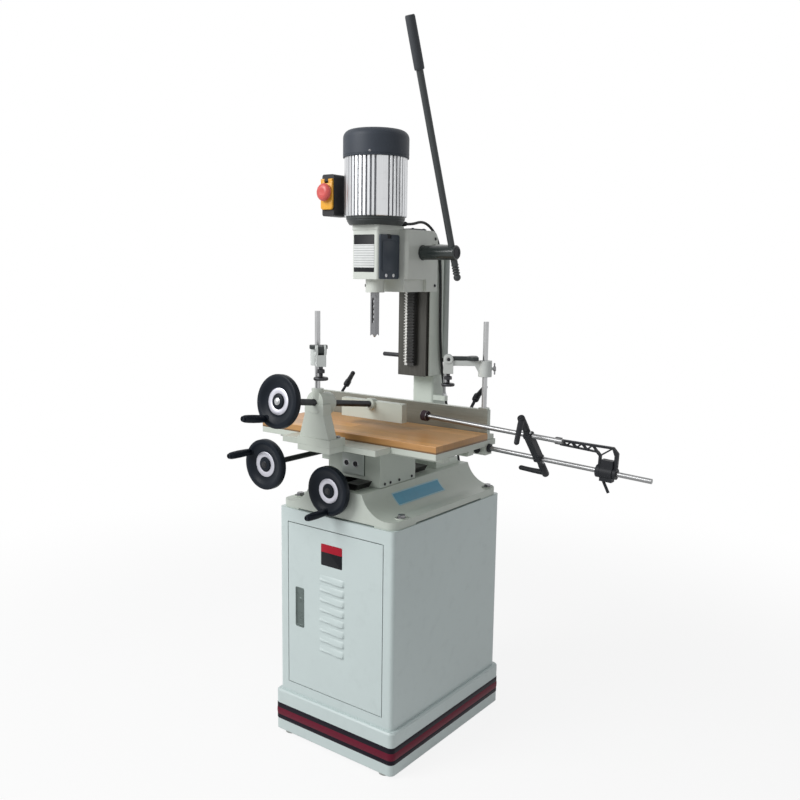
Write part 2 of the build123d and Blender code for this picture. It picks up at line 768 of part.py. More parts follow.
def door():
    """Door sheet with louvres, latch tray and pivot knuckles, and the latch paddle in its tray."""
    half = door_w / 2
    back = cabinet_front + SHEET
    pin_x = half - DOOR_PIN_IN
    pin_y = cabinet_front + DOOR_PIN_IN
    panel = block(-half, half, cabinet_front, back, door_low, door_top)
    lx0 = latch_x - LATCH_W / 2 - CLEAR
    lx1 = latch_x + LATCH_W / 2 + CLEAR
    lz0 = latch_z - LATCH_H / 2 - CLEAR
    lz1 = latch_z + LATCH_H / 2 + CLEAR
    tray = block(lx0 - SHEET, lx1 + SHEET, cabinet_front + SHEET / 2, cabinet_front + LATCH_TRAY,
                 lz0 - SHEET, lz1 + SHEET)
    panel += tray
    panel -= block(lx0, lx1, cabinet_front - CUT, cabinet_front + LATCH_TRAY - SHEET, lz0, lz1)
    for row in range(LOUVRE_COUNT):
        z = louvre_low + row * LOUVRE_PITCH
        hood = prism_x([(back - SHEET / 2, z), (cabinet_front - LOUVRE_PROUD, z),
                        (cabinet_front - LOUVRE_PROUD, z + LOUVRE_H * 0.25),
                        (back - SHEET / 2, z + LOUVRE_H)],
                       LOUVRE_X - LOUVRE_W / 2, LOUVRE_X + LOUVRE_W / 2)
        slot = block(LOUVRE_X - LOUVRE_W / 2 + SHEET, LOUVRE_X + LOUVRE_W / 2 - SHEET,
                     cabinet_front - LOUVRE_PROUD + SHEET * 0.6, back + CUT, z - CUT, z + LOUVRE_H * 0.4)
        panel += hood
        panel -= slot
    for z0, z1 in ((door_low, door_low + KNUCKLE_L), (door_top - KNUCKLE_L, door_top)):
        panel += rod_z(KNUCKLE_R, z0, z1, pin_x, pin_y)
        panel -= rod_z(DOOR_PIN_R + FIT, z0 - CUT, z1 + CUT, pin_x, pin_y)
    pin_z = latch_z - LATCH_H / 2 + LATCH_T
    latch_y = cabinet_front + LATCH_T / 2
    panel += rod_x(LATCH_PIN_R, lx0 - SHEET, lx1 + SHEET, latch_y, pin_z)
    paddle = block(latch_x - LATCH_W / 2, latch_x + LATCH_W / 2, cabinet_front, cabinet_front + LATCH_T,
                   pin_z, latch_z + LATCH_H / 2)
    paddle += rod_x(LATCH_T / 2, latch_x - LATCH_W / 2, latch_x + LATCH_W / 2, latch_y, pin_z)
    paddle -= rod_x(LATCH_PIN_R + FIT, lx0, lx1, latch_y, pin_z)
    keep("cabinet_door", panel)
    keep("door_latch", paddle)


def base():
    """Base casting with its flared sides, dovetail ways and screw channel, and the bolts that hold it."""
    top = BASE_TOP_W / 2
    with BuildSketch() as bell:
        with BuildLine():
            Polyline((-flare_x, flange_top), (-base_w / 2, flange_top), (-base_w / 2, cabinet_top),
                     (base_w / 2, cabinet_top), (base_w / 2, flange_top), (flare_x, flange_top))
            TangentArc((flare_x, flange_top), (top, base_top), tangent=(-1, 0))
            Line((top, base_top), (-top, base_top))
            TangentArc((-flare_x, flange_top), (-top, base_top), tangent=(1, 0))
        make_face()
    casting = Pos(0, base_d / 2, 0) * Rot(90, 0, 0) * extrude(bell.sketch, base_d)
    casting &= slab(base_w, base_d, BASE_R, cabinet_top, base_top)
    inner_top = base_top - CHANNEL_DEPTH - BASE_WALL
    knee = flare_x - 2 * BASE_WALL
    shoulder = top - BASE_WALL
    casting -= prism_y([(-knee, cabinet_top - CUT), (knee, cabinet_top - CUT), (shoulder, inner_top),
                        (-shoulder, inner_top)], -base_d / 2 + BASE_WALL, base_d / 2 - BASE_WALL)
    casting -= block(-slit_x, slit_x, -base_d, base_d, cabinet_top - CUT, cabinet_top + SLIT_H)
    casting -= block(-base_w, base_w, -slit_y, slit_y, cabinet_top - CUT, cabinet_top + SLIT_H)
    flare = WAY_FOOT + WAY_FLARE
    casting += prism_y([(-WAY_FOOT, base_top - CUT), (WAY_FOOT, base_top - CUT), (WAY_FOOT, base_top),
                        (flare, base_top + WAY_H), (-flare, base_top + WAY_H), (-WAY_FOOT, base_top)],
                       way_front, WAY_BACK)
    casting += rod_y(CROSS_BOSS_R, -base_d / 2, way_front + BASE_WALL, 0, base_top)
    casting -= block(-CHANNEL_W / 2, CHANNEL_W / 2, way_front + BASE_WALL, WAY_BACK,
                     base_top - CHANNEL_DEPTH, base_top + WAY_H + CUT)
    casting -= rod_y(CROSS_PITCH_R + FIT, -base_d, way_front + BASE_WALL + CUT, 0, base_top)
    bolts = []
    for x in (-bolt_x, bolt_x):
        for y in (bolt_y_front, bolt_y_back):
            seat = rod_z(WASHER_R + CUT, flange_top, base_top, x, y)
            casting -= seat + rod_z(BOLT_R + HOLE_CLEAR, cabinet_top - CUT, base_top, x, y)
            under = cabinet_top - TOP_PLATE
            head = hexagon(BOLT_HEAD_AF, flange_top + WASHER_T, flange_top + WASHER_T + BOLT_HEAD_H)
            nut = hexagon(BOLT_HEAD_AF, under - NUT_H, under)
            at = Pos(x, y, 0)
            bolts.append(at * (head + nut) + rod_z(WASHER_R, flange_top, flange_top + WASHER_T, x, y)
                         + rod_z(BOLT_R, under - NUT_H - 2 * CUT, flange_top + WASHER_T, x, y))
    keep("base_casting", casting)
    keep("base_bolts", Compound(bolts))


def handwheel(place, shaft_r, crank_deg):
    """A dished handwheel and its crank handle, the face on +Z of the place given."""
    points = [(shaft_r + FIT, -WHEEL_HUB_BACK), (WHEEL_HUB_R, -WHEEL_HUB_BACK), (WHEEL_HUB_R, -WHEEL_WEB),
              (WHEEL_R - 2 * RIM_R, -WHEEL_WEB - WHEEL_STEP), (WHEEL_R - 1.5 * RIM_R, -RIM_R)]
    for step in range(1, RIM_STEPS):
        turn = math.radians(-90 + 180 * step / RIM_STEPS)
        points.append((WHEEL_R - RIM_R + RIM_R * math.cos(turn), RIM_R * math.sin(turn)))
    points += [(WHEEL_R - 1.5 * RIM_R, RIM_R), (WHEEL_R - 2 * RIM_R, RIM_R * 0.4), (WHEEL_FACE_R, 0.0),
               (WHEEL_FACE_R - CUT, WHEEL_STEP), (WHEEL_HUB_R, WHEEL_STEP), (WHEEL_HUB_R - CUT, RIM_R * 0.7),
               (shaft_r + FIT, RIM_R * 0.7)]
    wheel = turned(points)
    turn = math.radians(crank_deg)
    at = Pos(crank_r * math.cos(turn), crank_r * math.sin(turn), 0)
    handle_end = RIM_R + CLEAR + HANDLE_L
    wheel += at * rod_z(STUD_R, 0, handle_end + CLEAR + STUD_HEAD_T, 0, 0)
    wheel += at * rod_z(STUD_HEAD_R, handle_end + CLEAR, handle_end + CLEAR + STUD_HEAD_T, 0, 0)
    seat = RIM_R + CLEAR
    handle = at * turned([(STUD_R + FIT, seat), (HANDLE_R * 0.8, seat),
                          (HANDLE_R * 0.9, seat + HANDLE_L * 0.12),
                          (HANDLE_R, seat + HANDLE_L * 0.55), (HANDLE_R * 0.9, seat + HANDLE_L * 0.92),
                          (HANDLE_R * 0.75, seat + HANDLE_L), (STUD_R + FIT, seat + HANDLE_L)])
    return place * wheel, place * handle


def cross_slide():
    """Cross screw with its handwheel, and the saddle with its ways, nut and drive bearing."""
    facing = Pos(0, cross_wheel_y, base_top) * Rot(90, 0, 0)
    wheel, handle = handwheel(facing, CROSS_PITCH_R, CROSS_CRANK_DEG)
    screw = rod_y(CROSS_PITCH_R, cross_wheel_y - RIM_R * 0.6, WAY_BACK - CLEAR, 0, base_top)
    collar_y = way_front + BASE_WALL + CLEAR
    screw += rod_y(CROSS_PITCH_R * 1.5, collar_y, collar_y + CROSS_PITCH_R, 0, base_top)
    keep("cross_screw", screw)
    keep("cross_wheel", wheel)
    keep("cross_handle", handle)

    half = SADDLE_W / 2
    body = block(-half, half, SADDLE_FRONT, saddle_back, saddle_low, saddle_top)
    foot = WAY_FOOT + CLEAR
    flare = WAY_FOOT + WAY_FLARE + CLEAR
    roof = base_top + WAY_H + CLEAR
    body -= prism_y([(-foot, saddle_low - 2 * CUT), (foot, saddle_low - 2 * CUT), (foot, base_top + CLEAR),
                     (flare, roof),
                     (-flare, roof), (-foot, base_top + CLEAR)], SADDLE_FRONT - CUT, saddle_back + CUT)
    nut = block(-NUT_W / 2, NUT_W / 2, saddle_mid - NUT_L / 2, saddle_mid + NUT_L / 2,
                base_top - CROSS_PITCH_R - NUT_WALL, roof + CUT)
    body += nut - rod_y(CROSS_PITCH_R + CLEAR, SADDLE_FRONT, saddle_back, 0, base_top)
    way_flare = TABLE_WAY_FOOT + TABLE_WAY_FLARE
    body += prism_x([(saddle_mid - TABLE_WAY_FOOT, saddle_top - CUT), (saddle_mid + TABLE_WAY_FOOT,
                                                                       saddle_top - CUT),
                     (saddle_mid + TABLE_WAY_FOOT, saddle_top), (saddle_mid + way_flare,
                                                                 saddle_top + TABLE_WAY_H),
                     (saddle_mid - way_flare, saddle_top + TABLE_WAY_H),
                     (saddle_mid - TABLE_WAY_FOOT, saddle_top)],
                    -half, half)
    ear = block(-half - EAR_W, -half + CUT, saddle_back - EAR_D, saddle_back, drive_z - EAR_H / 2,
                drive_z + EAR_H / 2)
    ear &= block(-half - EAR_W, half, saddle_back - EAR_D, saddle_back, saddle_low, saddle_top)
    body += ear
    body -= rod_y(DRIVE_SHAFT_R + FIT, SADDLE_FRONT - SADDLE_PLATE_T, saddle_back + CUT, drive_x, drive_z)
    plate_z = saddle_top - SADDLE_PLATE_H / 2 - SADDLE_PLATE_DOWN
    body += block(-SADDLE_PLATE_W / 2, SADDLE_PLATE_W / 2, SADDLE_FRONT - SADDLE_PLATE_T, SADDLE_FRONT,
                  plate_z - SADDLE_PLATE_H / 2, plate_z + SADDLE_PLATE_H / 2)
    keep("saddle", body)


def table_drive():
    """Pinion shaft under the table, with its handwheel."""
    facing = Pos(drive_x, drive_wheel_y, drive_z) * Rot(90, 0, 0)
    wheel, handle = handwheel(facing, DRIVE_SHAFT_R, TABLE_CRANK_DEG)
    gear_y = saddle_back + CLEAR + DRIVE_WIDTH / 2
    pinion = gear(DRIVE_MODULE, DRIVE_TEETH, DRIVE_WIDTH)
    shaft = Pos(drive_x, gear_y, drive_z) * Rot(90, 0, 0) * Rot(0, 0, 90) * pinion
    shaft += rod_y(DRIVE_SHAFT_R, drive_wheel_y - RIM_R * 0.6, gear_y, drive_x, drive_z)
    keep("table_pinion_shaft", shaft)
    keep("table_wheel", wheel)
    keep("table_handle", handle)


def table():
    """Iron table with its slide, rack and stop-rod boss, and the wood top."""
    half = TABLE_L / 2
    iron = block(-half, half, TABLE_FRONT, table_back, plate_low, iron_top)
    iron += block(-TONGUE_W / 2, TONGUE_W / 2, TABLE_FRONT - TONGUE_D, TABLE_FRONT, plate_low, iron_top)
    iron += block(-LUG_TABLE_W / 2, LUG_TABLE_W / 2, TABLE_FRONT - LUG_TABLE_D, TABLE_FRONT, plate_low,
                  iron_top)
    slide = block(-half + TABLE_T, half - TABLE_T, saddle_mid - RIB_D / 2, saddle_mid + RIB_D / 2, rib_low,
                  plate_low)
    foot = TABLE_WAY_FOOT + CLEAR
    flare = TABLE_WAY_FOOT + TABLE_WAY_FLARE + CLEAR
    roof = saddle_top + TABLE_WAY_H + CLEAR
    slide -= prism_x([(saddle_mid - foot, rib_low - CUT), (saddle_mid + foot, rib_low - CUT),
                      (saddle_mid + foot, saddle_top + CLEAR), (saddle_mid + flare, roof),
                      (saddle_mid - flare, roof), (saddle_mid - foot, saddle_top + CLEAR)], -half, half)
    iron += slide
    pitch_z = drive_z + drive_r + MESH_SLACK
    outline = rack_outline(DRIVE_MODULE, rack_left, RACK_RIGHT, drive_x, pitch_z - plate_low - CUT)
    gear_y = saddle_back + CLEAR
    rack = prism_y([(x, pitch_z - height) for x, height in outline], gear_y + CUT, gear_y + DRIVE_WIDTH - CUT)
    iron += rack
    along = Pos(half, stop_y, stop_z) * Rot(0, STOP_DROOP, 0)
    boss_in = half - STOP_SET - STOP_BOSS_WALL
    iron += block(boss_in, half, stop_y - STOP_BOSS_W / 2, stop_y + STOP_BOSS_W / 2,
                  stop_z - STOP_BOSS_DROP, plate_low)
    iron -= along * rod_x(STOP_ROD_R + FIT, -STOP_SET, STOP_SET, 0, 0)
    keep("table_iron", iron)
    top = block(-half, half, TABLE_FRONT, TABLE_FRONT + WOOD_D, iron_top, wood_top)
    top = fillet(top.faces().sort_by(Axis.Z)[-1].edges(), WOOD_ROUND)
    keep("table_top", top)


def vise_axis(along):
    """Frame on the vise screw, +Z towards the front, at a distance from the bracket's boss to the back."""
    tilt = math.radians(VISE_TILT)
    return Pos(0, vise_y + along * math.cos(tilt),
               vise_z - along * math.sin(tilt)) * Rot(90 - VISE_TILT, 0, 0)


def vise():
    """Vise bracket on the table's lug, its screw and handwheel, and the moving jaw."""
    front = vise_y - BRACKET_D / 2
    back = vise_y + BRACKET_D / 2
    foot_top = iron_top + BRACKET_FOOT_H
    foot = block(-BRACKET_FOOT_W / 2, BRACKET_FOOT_W / 2, front, back, iron_top, foot_top)
    waist_z = vise_z - BRACKET_BOSS_R
    lower = BRACKET_FOOT_W / 2 - UPRIGHT_SIDE
    upper = BRACKET_WAIST_W / 2
    upright = prism_y([(-lower, foot_top - CUT), (lower, foot_top - CUT), (upper, waist_z), (upper, vise_z),
                       (-upper, vise_z), (-upper, waist_z)], front + UPRIGHT_FRONT, back - UPRIGHT_BACK)
    bracket = foot + upright + vise_axis(0) * Cylinder(BRACKET_BOSS_R, BRACKET_D - 2 * UPRIGHT_SIDE)
    bracket += rod_z(HOLD_ROD_R * 2.2, vise_z, bracket_top, 0, front_rod_y)
    bracket -= vise_axis(0) * Cylinder(VISE_SCREW_R + CLEAR, BRACKET_D * 3)
    bracket -= rod_z(HOLD_ROD_R + FIT, bracket_top - ROD_SET, bracket_top + CUT, 0, front_rod_y)
    keep("vise_bracket", bracket)
    keep("front_hold_rod", rod_z(HOLD_ROD_R, bracket_top - ROD_SET, front_rod_top, 0, front_rod_y))

    wheel, handle = handwheel(vise_axis(VISE_WHEEL_S), VISE_SCREW_R, VISE_CRANK_DEG)
    keep("vise_wheel", wheel)
    keep("vise_handle", handle)
    start = VISE_WHEEL_S - RIM_R * 0.6
    end = VISE_JAW_S + JAW_SOCKET - CLEAR
    keep("vise_screw", vise_axis((start + end) / 2) * Cylinder(VISE_SCREW_R, end - start))

    tilt = math.radians(VISE_TILT)
    jaw_y = vise_y + VISE_JAW_S * math.cos(tilt)
    jaw_z = vise_z - VISE_JAW_S * math.sin(tilt)
    jaw = block(-JAW_L / 2, JAW_L / 2, jaw_y, jaw_y + JAW_T, jaw_z - JAW_LOW, jaw_z - JAW_LOW + JAW_H)
    jaw += vise_axis(VISE_JAW_S) * Cylinder(VISE_SCREW_R * 1.9, JAW_T)
    jaw &= block(-JAW_L, JAW_L, jaw_y - JAW_T, jaw_y + JAW_T, jaw_z - JAW_LOW, jaw_z + JAW_H)
    socket_end = VISE_JAW_S + JAW_SOCKET
    jaw -= vise_axis(socket_end - JAW_T * 2) * Cylinder(VISE_SCREW_R + FIT, JAW_T * 4)
    keep("vise_jaw", jaw)


def fence():
    """Fence on the table's back edge with its rod boss, lock levers and rear hold-down rod."""
    half = fence_half
    plate = block(-half, half, fence_front, fence_back, iron_top, fence_top)
    plate += block(-half, half, fence_back - CUT, fence_back + FENCE_FOOT_D, iron_top,
                   iron_top + FENCE_FOOT_T)
    plate += rod_z(ROD_BOSS_R, iron_top, fence_top + ROD_BOSS_UP, rear_rod_x, rear_rod_y)
    plate -= rod_z(HOLD_ROD_R + FIT, fence_top - ROD_SET * 2, fence_top + ROD_BOSS_UP + CUT, rear_rod_x,
                   rear_rod_y)
    plate -= block(-half - CUT, half + ROD_BOSS_R, fence_front - ROD_BOSS_R, fence_front, iron_top - CUT,
                   fence_top + ROD_BOSS_UP + CUT)
    seat_z = fence_top - LOCK_BOSS / 2
    for x, name in ((-lock_x, "fence_lever_left"), (lock_x, "fence_lever_right")):
        at = Pos(x, fence_back, seat_z) * Rot(-LOCK_TILT, 0, 0)
        boss = prism_x([(fence_back - CUT, seat_z - LOCK_BOSS), (fence_back + LOCK_BOSS * 0.6,
                                                                 seat_z - LOCK_BOSS * 0.4),
                        (fence_back + LOCK_BOSS * 0.6, seat_z), (fence_back, seat_z + LOCK_BOSS * 0.5),
                        (fence_back - CUT, seat_z + LOCK_BOSS * 0.5)], x - LOCK_BOSS / 2, x + LOCK_BOSS / 2)
        plate += boss
        plate -= at * rod_z(LOCK_STUD_R + FIT, -LOCK_STUD_IN - HOLE_CLEAR, LOCK_BOSS * 3, 0, 0)
        lever = pebble_lever(LEVER_L, LEVER_HUB_R, LEVER_HUB_H, LEVER_TIP_R, LEVER_HUB_H / 2, LEVER_RISE)
        stud = rod_z(LOCK_STUD_R, -LOCK_STUD_IN, LOCK_STUD_L + 2 * CUT, 0, 0)
        keep(name, at * (stud + Pos(0, 0, LOCK_STUD_L) * Rot(0, 0, FENCE_LOCK_TURN) * lever))
    keep("fence", plate)
    keep("rear_hold_rod", rod_z(HOLD_ROD_R, fence_top - ROD_SET * 2, rear_rod_top, rear_rod_x, rear_rod_y))


def hold_down(place, prefix):
    """A hold-down arm on its rod, with a cam lever and a sprung foot, the arm along -X of the place given."""
    top = ARM_HUB_H / 2
    arm = rod_z(ARM_HUB_R, -top, top, 0, 0)
    arm += prism_y([(-ARM_REACH, top - ARM_T), (-ARM_KNEE, top - ARM_T), (-ARM_HUB_R * 0.6, -top), (0, -top),
                    (0, top), (-ARM_REACH, top)], -ARM_W / 2, ARM_W / 2)
    pin_z = top + ARM_PIN_UP
    arm += block(-ARM_REACH - ARM_END_R, -ARM_REACH + ARM_END_R, -ARM_END_W / 2, ARM_END_W / 2, -ARM_END_LOW,
                 pin_z)
    arm += rod_y(ARM_END_R, -ARM_END_W / 2, ARM_END_W / 2, -ARM_REACH, pin_z)
    arm -= block(-ARM_REACH - ARM_END_R - CUT, -ARM_REACH + ARM_END_R + CUT, -ARM_SLOT_W / 2, ARM_SLOT_W / 2,
                 pin_z - CAM_R - CLEAR, pin_z + ARM_END_R + CUT)
    arm += rod_y(CAM_PIN_R, -ARM_END_W / 2, ARM_END_W / 2, -ARM_REACH, pin_z)
    arm += rod_x(THUMB_R * 0.6, 0, ARM_HUB_R + THUMB_R * 1.2, 0, 0)
    arm += rod_x(THUMB_R, ARM_HUB_R + THUMB_R * 0.6, ARM_HUB_R + THUMB_R * 1.6, 0, 0)
    arm -= rod_z(HOLD_ROD_R + FIT, -ARM_HUB_H, ARM_HUB_H, 0, 0)
    stem_top = -ARM_END_LOW + FOOT_STEM_IN
    arm -= rod_z(FOOT_STEM_R + FIT, -ARM_END_LOW - CUT, stem_top + FOOT_TRAVEL + CLEAR, -ARM_REACH, 0)
    bar_low = top + CLEAR
    side = ARM_SLOT_W / 2 - CLEAR
    free = -ARM_REACH + CAM_LEVER_L
    wide = CAM_PADDLE_W / 2
    cam = rod_y(CAM_R, -side, side, -ARM_REACH, pin_z)
    paddle = free - CAM_PADDLE_L
    flare = paddle - CAM_FLARE_L
    cam += prism_z([(-ARM_REACH, -side), (flare, -side), (paddle, -wide), (free, -wide), (free, wide),
                    (paddle, wide), (flare, side), (-ARM_REACH, side)], bar_low, bar_low + CAM_BAR_T)
    cam -= rod_y(CAM_PIN_R + FIT, -side - CUT, side + CUT, -ARM_REACH, pin_z)
    pad_top = -ARM_END_LOW - FOOT_TRAVEL - 2 * CLEAR
    foot = rod_z(FOOT_STEM_R, pad_top - FOOT_DROP, stem_top, -ARM_REACH, 0)
    foot += rod_z(FOOT_COLLAR_R, pad_top - FOOT_COLLAR_H, pad_top, -ARM_REACH, 0)
    foot += rod_z(FOOT_PAD_R, pad_top - FOOT_DROP - FOOT_PAD_T, pad_top - FOOT_DROP, -ARM_REACH, 0)
    keep(prefix + "_hold_arm", place * arm)
    keep(prefix + "_hold_lever", place * cam)
    keep(prefix + "_hold_foot", place * foot)


def work_stops():
    """Stop rods on the table's right end, their link and levers, and the flip stop."""
    frame = Pos(TABLE_L / 2, stop_y, stop_z) * Rot(0, STOP_DROOP, 0)
    bore = STOP_ROD_R + FIT
    keep("stop_rod_lower", frame * rod_x(STOP_ROD_R, -STOP_SET + CLEAR, STOP_LOWER_L, 0, 0))
    upper = rod_x(STOP_ROD_R, STOP_UPPER_IN, STOP_UPPER_OUT, -LINK_FORWARD, LINK_UP)
    upper += rod_x(STOP_BLOCK_R, STOP_UPPER_IN - STOP_BLOCK_T, STOP_UPPER_IN, -LINK_FORWARD, LINK_UP)
    keep("stop_rod_upper", frame * upper)

    length = math.hypot(LINK_FORWARD, LINK_UP)
    lean = math.degrees(math.atan2(LINK_FORWARD, LINK_UP))
    at = frame * Pos(LINK_S, 0, 0) * Rot(lean, 0, 0)
    link = block(-LINK_W / 2, LINK_W / 2, -LINK_R * 0.8, LINK_R * 0.8, 0, length)
    for z in (0, length):
        link += rod_x(LINK_R, -LINK_W / 2, LINK_W / 2, 0, z)
    for z0, z1 in ((-LINK_END, 0), (length, length + LINK_END)):
        link += rod_z(LINK_R * 0.75, z0, z1, 0, 0)
    for z in (0, length):
        link -= rod_x(bore, -LINK_W, LINK_W, 0, z)
    stud_in = LINK_END - STOP_ROD_R
    link -= rod_z(LOCK_STUD_R + FIT, length + STOP_ROD_R + CUT, length + LINK_END + CUT, 0, 0)
    link -= rod_z(LOCK_STUD_R + FIT, -LINK_END - CUT, -STOP_ROD_R - CUT, 0, 0)
    keep("stop_link", at * link)
    lever = pebble_lever(LINK_ARM_L, LEVER_HUB_R, LINK_HUB_H, LEVER_TIP_R, LINK_ARM_UP, 0)
    lever += rod_z(LOCK_STUD_R, -stud_in + 2 * CUT, CUT, 0, 0)
    seat = length + LINK_END + CLEAR
    keep("link_lever_upper", at * Pos(0, 0, seat) * Rot(0, 0, LINK_UPPER_TURN) * lever)
    keep("link_lever_lower", at * Pos(0, 0, -LINK_END - CLEAR) * Rot(180, 0, LINK_LOWER_TURN) * lever)

    flip_end = FLIP_S + FLIP_W
    clamp = rod_x(FLIP_R, FLIP_S, flip_end, 0, 0)
    clamp += block(FLIP_S, flip_end, -FLIP_BLOCK_D / 2, FLIP_BLOCK_D / 2, -FLIP_BLOCK_DOWN, FLIP_BLOCK_UP)
    screw_at = Pos(FLIP_S + FLIP_SCREW_IN, 0, -FLIP_BLOCK_DOWN + CUT) * Rot(0, FLIP_SCREW_TURN, 0)
    clamp += screw_at * rod_z(FLIP_SCREW_R, -FLIP_SCREW_L, 2 * CUT, 0, 0)
    clamp -= rod_x(bore, FLIP_S - CUT, flip_end + CUT, 0, 0)
    keep("flip_clamp", frame * clamp)

    ear_right = FLIP_S - CLEAR
    ear_left = ear_right - FLIP_EAR
    far_left = flip_end + CLEAR
    far_right = far_left + FLIP_EAR_OUT
    near = (ear_left + ear_right) / 2
    far = (far_left + far_right) / 2
    tip = FLIP_S - FLIP_REACH
    half = FLIP_T / 2
    crown = (far - FLIP_CORNER, FLIP_UP)
    top_tip = (tip, FLIP_UP - FLIP_FALL)
    low_tip = (tip, FLIP_UP - FLIP_FALL - FLIP_DEEP)
    knee = (FLIP_S - FLIP_KNEE, FLIP_UP - FLIP_DEEPER)
    shoulder = (far, FLIP_UP - FLIP_CORNER)
    brace_z = (FLIP_BLOCK_UP + knee[1]) / 2
    arm = rod_x(FLIP_R, ear_left, ear_right, 0, 0) + rod_x(FLIP_EAR_OUT_R, far_left, far_right, 0, 0)
    arm += strut(top_tip, crown, FLIP_CHORD, half) + strut(crown, shoulder, FLIP_CHORD, half)
    arm += strut(low_tip, knee, FLIP_CHORD * 0.7, half) + strut(low_tip, top_tip, FLIP_WEB, half)
    arm += strut(knee, (near, brace_z), FLIP_CHORD, half)
    arm += block(near - FLIP_CHORD / 2, near + FLIP_CHORD / 2, -half, half, 0, brace_z)
    arm += block(far_left, far_right, -half, half, 0, shoulder[1])
    points = []
    for index in range(FLIP_CELLS + 1):
        share = index / FLIP_CELLS
        lower = index % 2
        x = tip + (knee[0] - tip) * share
        high = top_tip[1] + FLIP_FALL * (x - tip) / (crown[0] - tip)
        low = low_tip[1] + (knee[1] - low_tip[1]) * share
        points.append((x, low if lower else high))
    for first, second in zip(points, points[1:]):
        arm += strut(first, second, FLIP_WEB, half)
    arm += strut((near, brace_z), crown, FLIP_WEB, half)
    arm += strut(crown, (far, brace_z), FLIP_WEB, half)
    pad_z = top_tip[1] - FLIP_DEEP / 2 + FLIP_CHORD / 2
    arm += block(tip - FLIP_PAD, tip, -half, half, pad_z - FLIP_PAD_H / 2, pad_z + FLIP_PAD_H / 2)
    arm -= rod_x(bore, ear_left - CUT, far_right + CUT, 0, 0)
    keep("flip_arm", frame * arm)


def column():
    """Column with its dovetail way, the feed rack, and the gas spring's fixed rod."""
    back = column_back
    inner = column_half - COLUMN_WAY_IN
    post = Pos(0, POST_FRONT + POST_D / 2, base_top) * extrude(RectangleRounded(POST_W, POST_D, POST_R),
                                                               POST_H + POST_LAP)
    post += block(-POST_FOOT_W / 2, POST_FOOT_W / 2, POST_FRONT + POST_D / 2 - POST_FOOT_D / 2,
                  POST_FRONT + POST_D / 2 + POST_FOOT_D / 2, base_top, base_top + POST_FOOT_H)
    upper = Pos(0, back + COLUMN_D / 2,
                column_low) * extrude(RectangleRounded(COLUMN_W, COLUMN_D, COLUMN_R), COLUMN_H)
    way = prism_z([(-column_half, COLUMN_FRONT), (column_half, COLUMN_FRONT), (inner, back + CUT),
                   (-inner, back + CUT)],
                  column_low, column_top)
    casting = post + upper + way
    pin_y = back + COLUMN_D * 0.2
    casting += rod_x(STOP_PIN_R, -column_half - STOP_PIN_L, -column_half + COLUMN_R, pin_y, stop_pin_z)
    casting += block(POST_W / 2 - COLUMN_R, GAS_X + GAS_LUG / 2, gas_y - GAS_LUG / 2, gas_y + GAS_LUG / 2,
                     gas_lug_top - GAS_LUG, gas_lug_top)
    casting -= rod_z(GAS_ROD_R, gas_lug_top - GAS_LUG / 2, gas_lug_top + CUT, GAS_X, gas_y)
    keep("column", casting)
    keep("gas_spring_rod", rod_z(GAS_ROD_R, gas_lug_top - GAS_LUG / 2, gas_tube_low + GAS_ROD_IN, GAS_X,
                                 gas_y))
    outline = rack_outline(FEED_MODULE, rack_low, column_top, feed_z, feed_pitch_y - COLUMN_FRONT)
    keep("feed_rack", prism_x([(feed_pitch_y - height, z) for z, height in outline], -RACK_W / 2, RACK_W / 2))


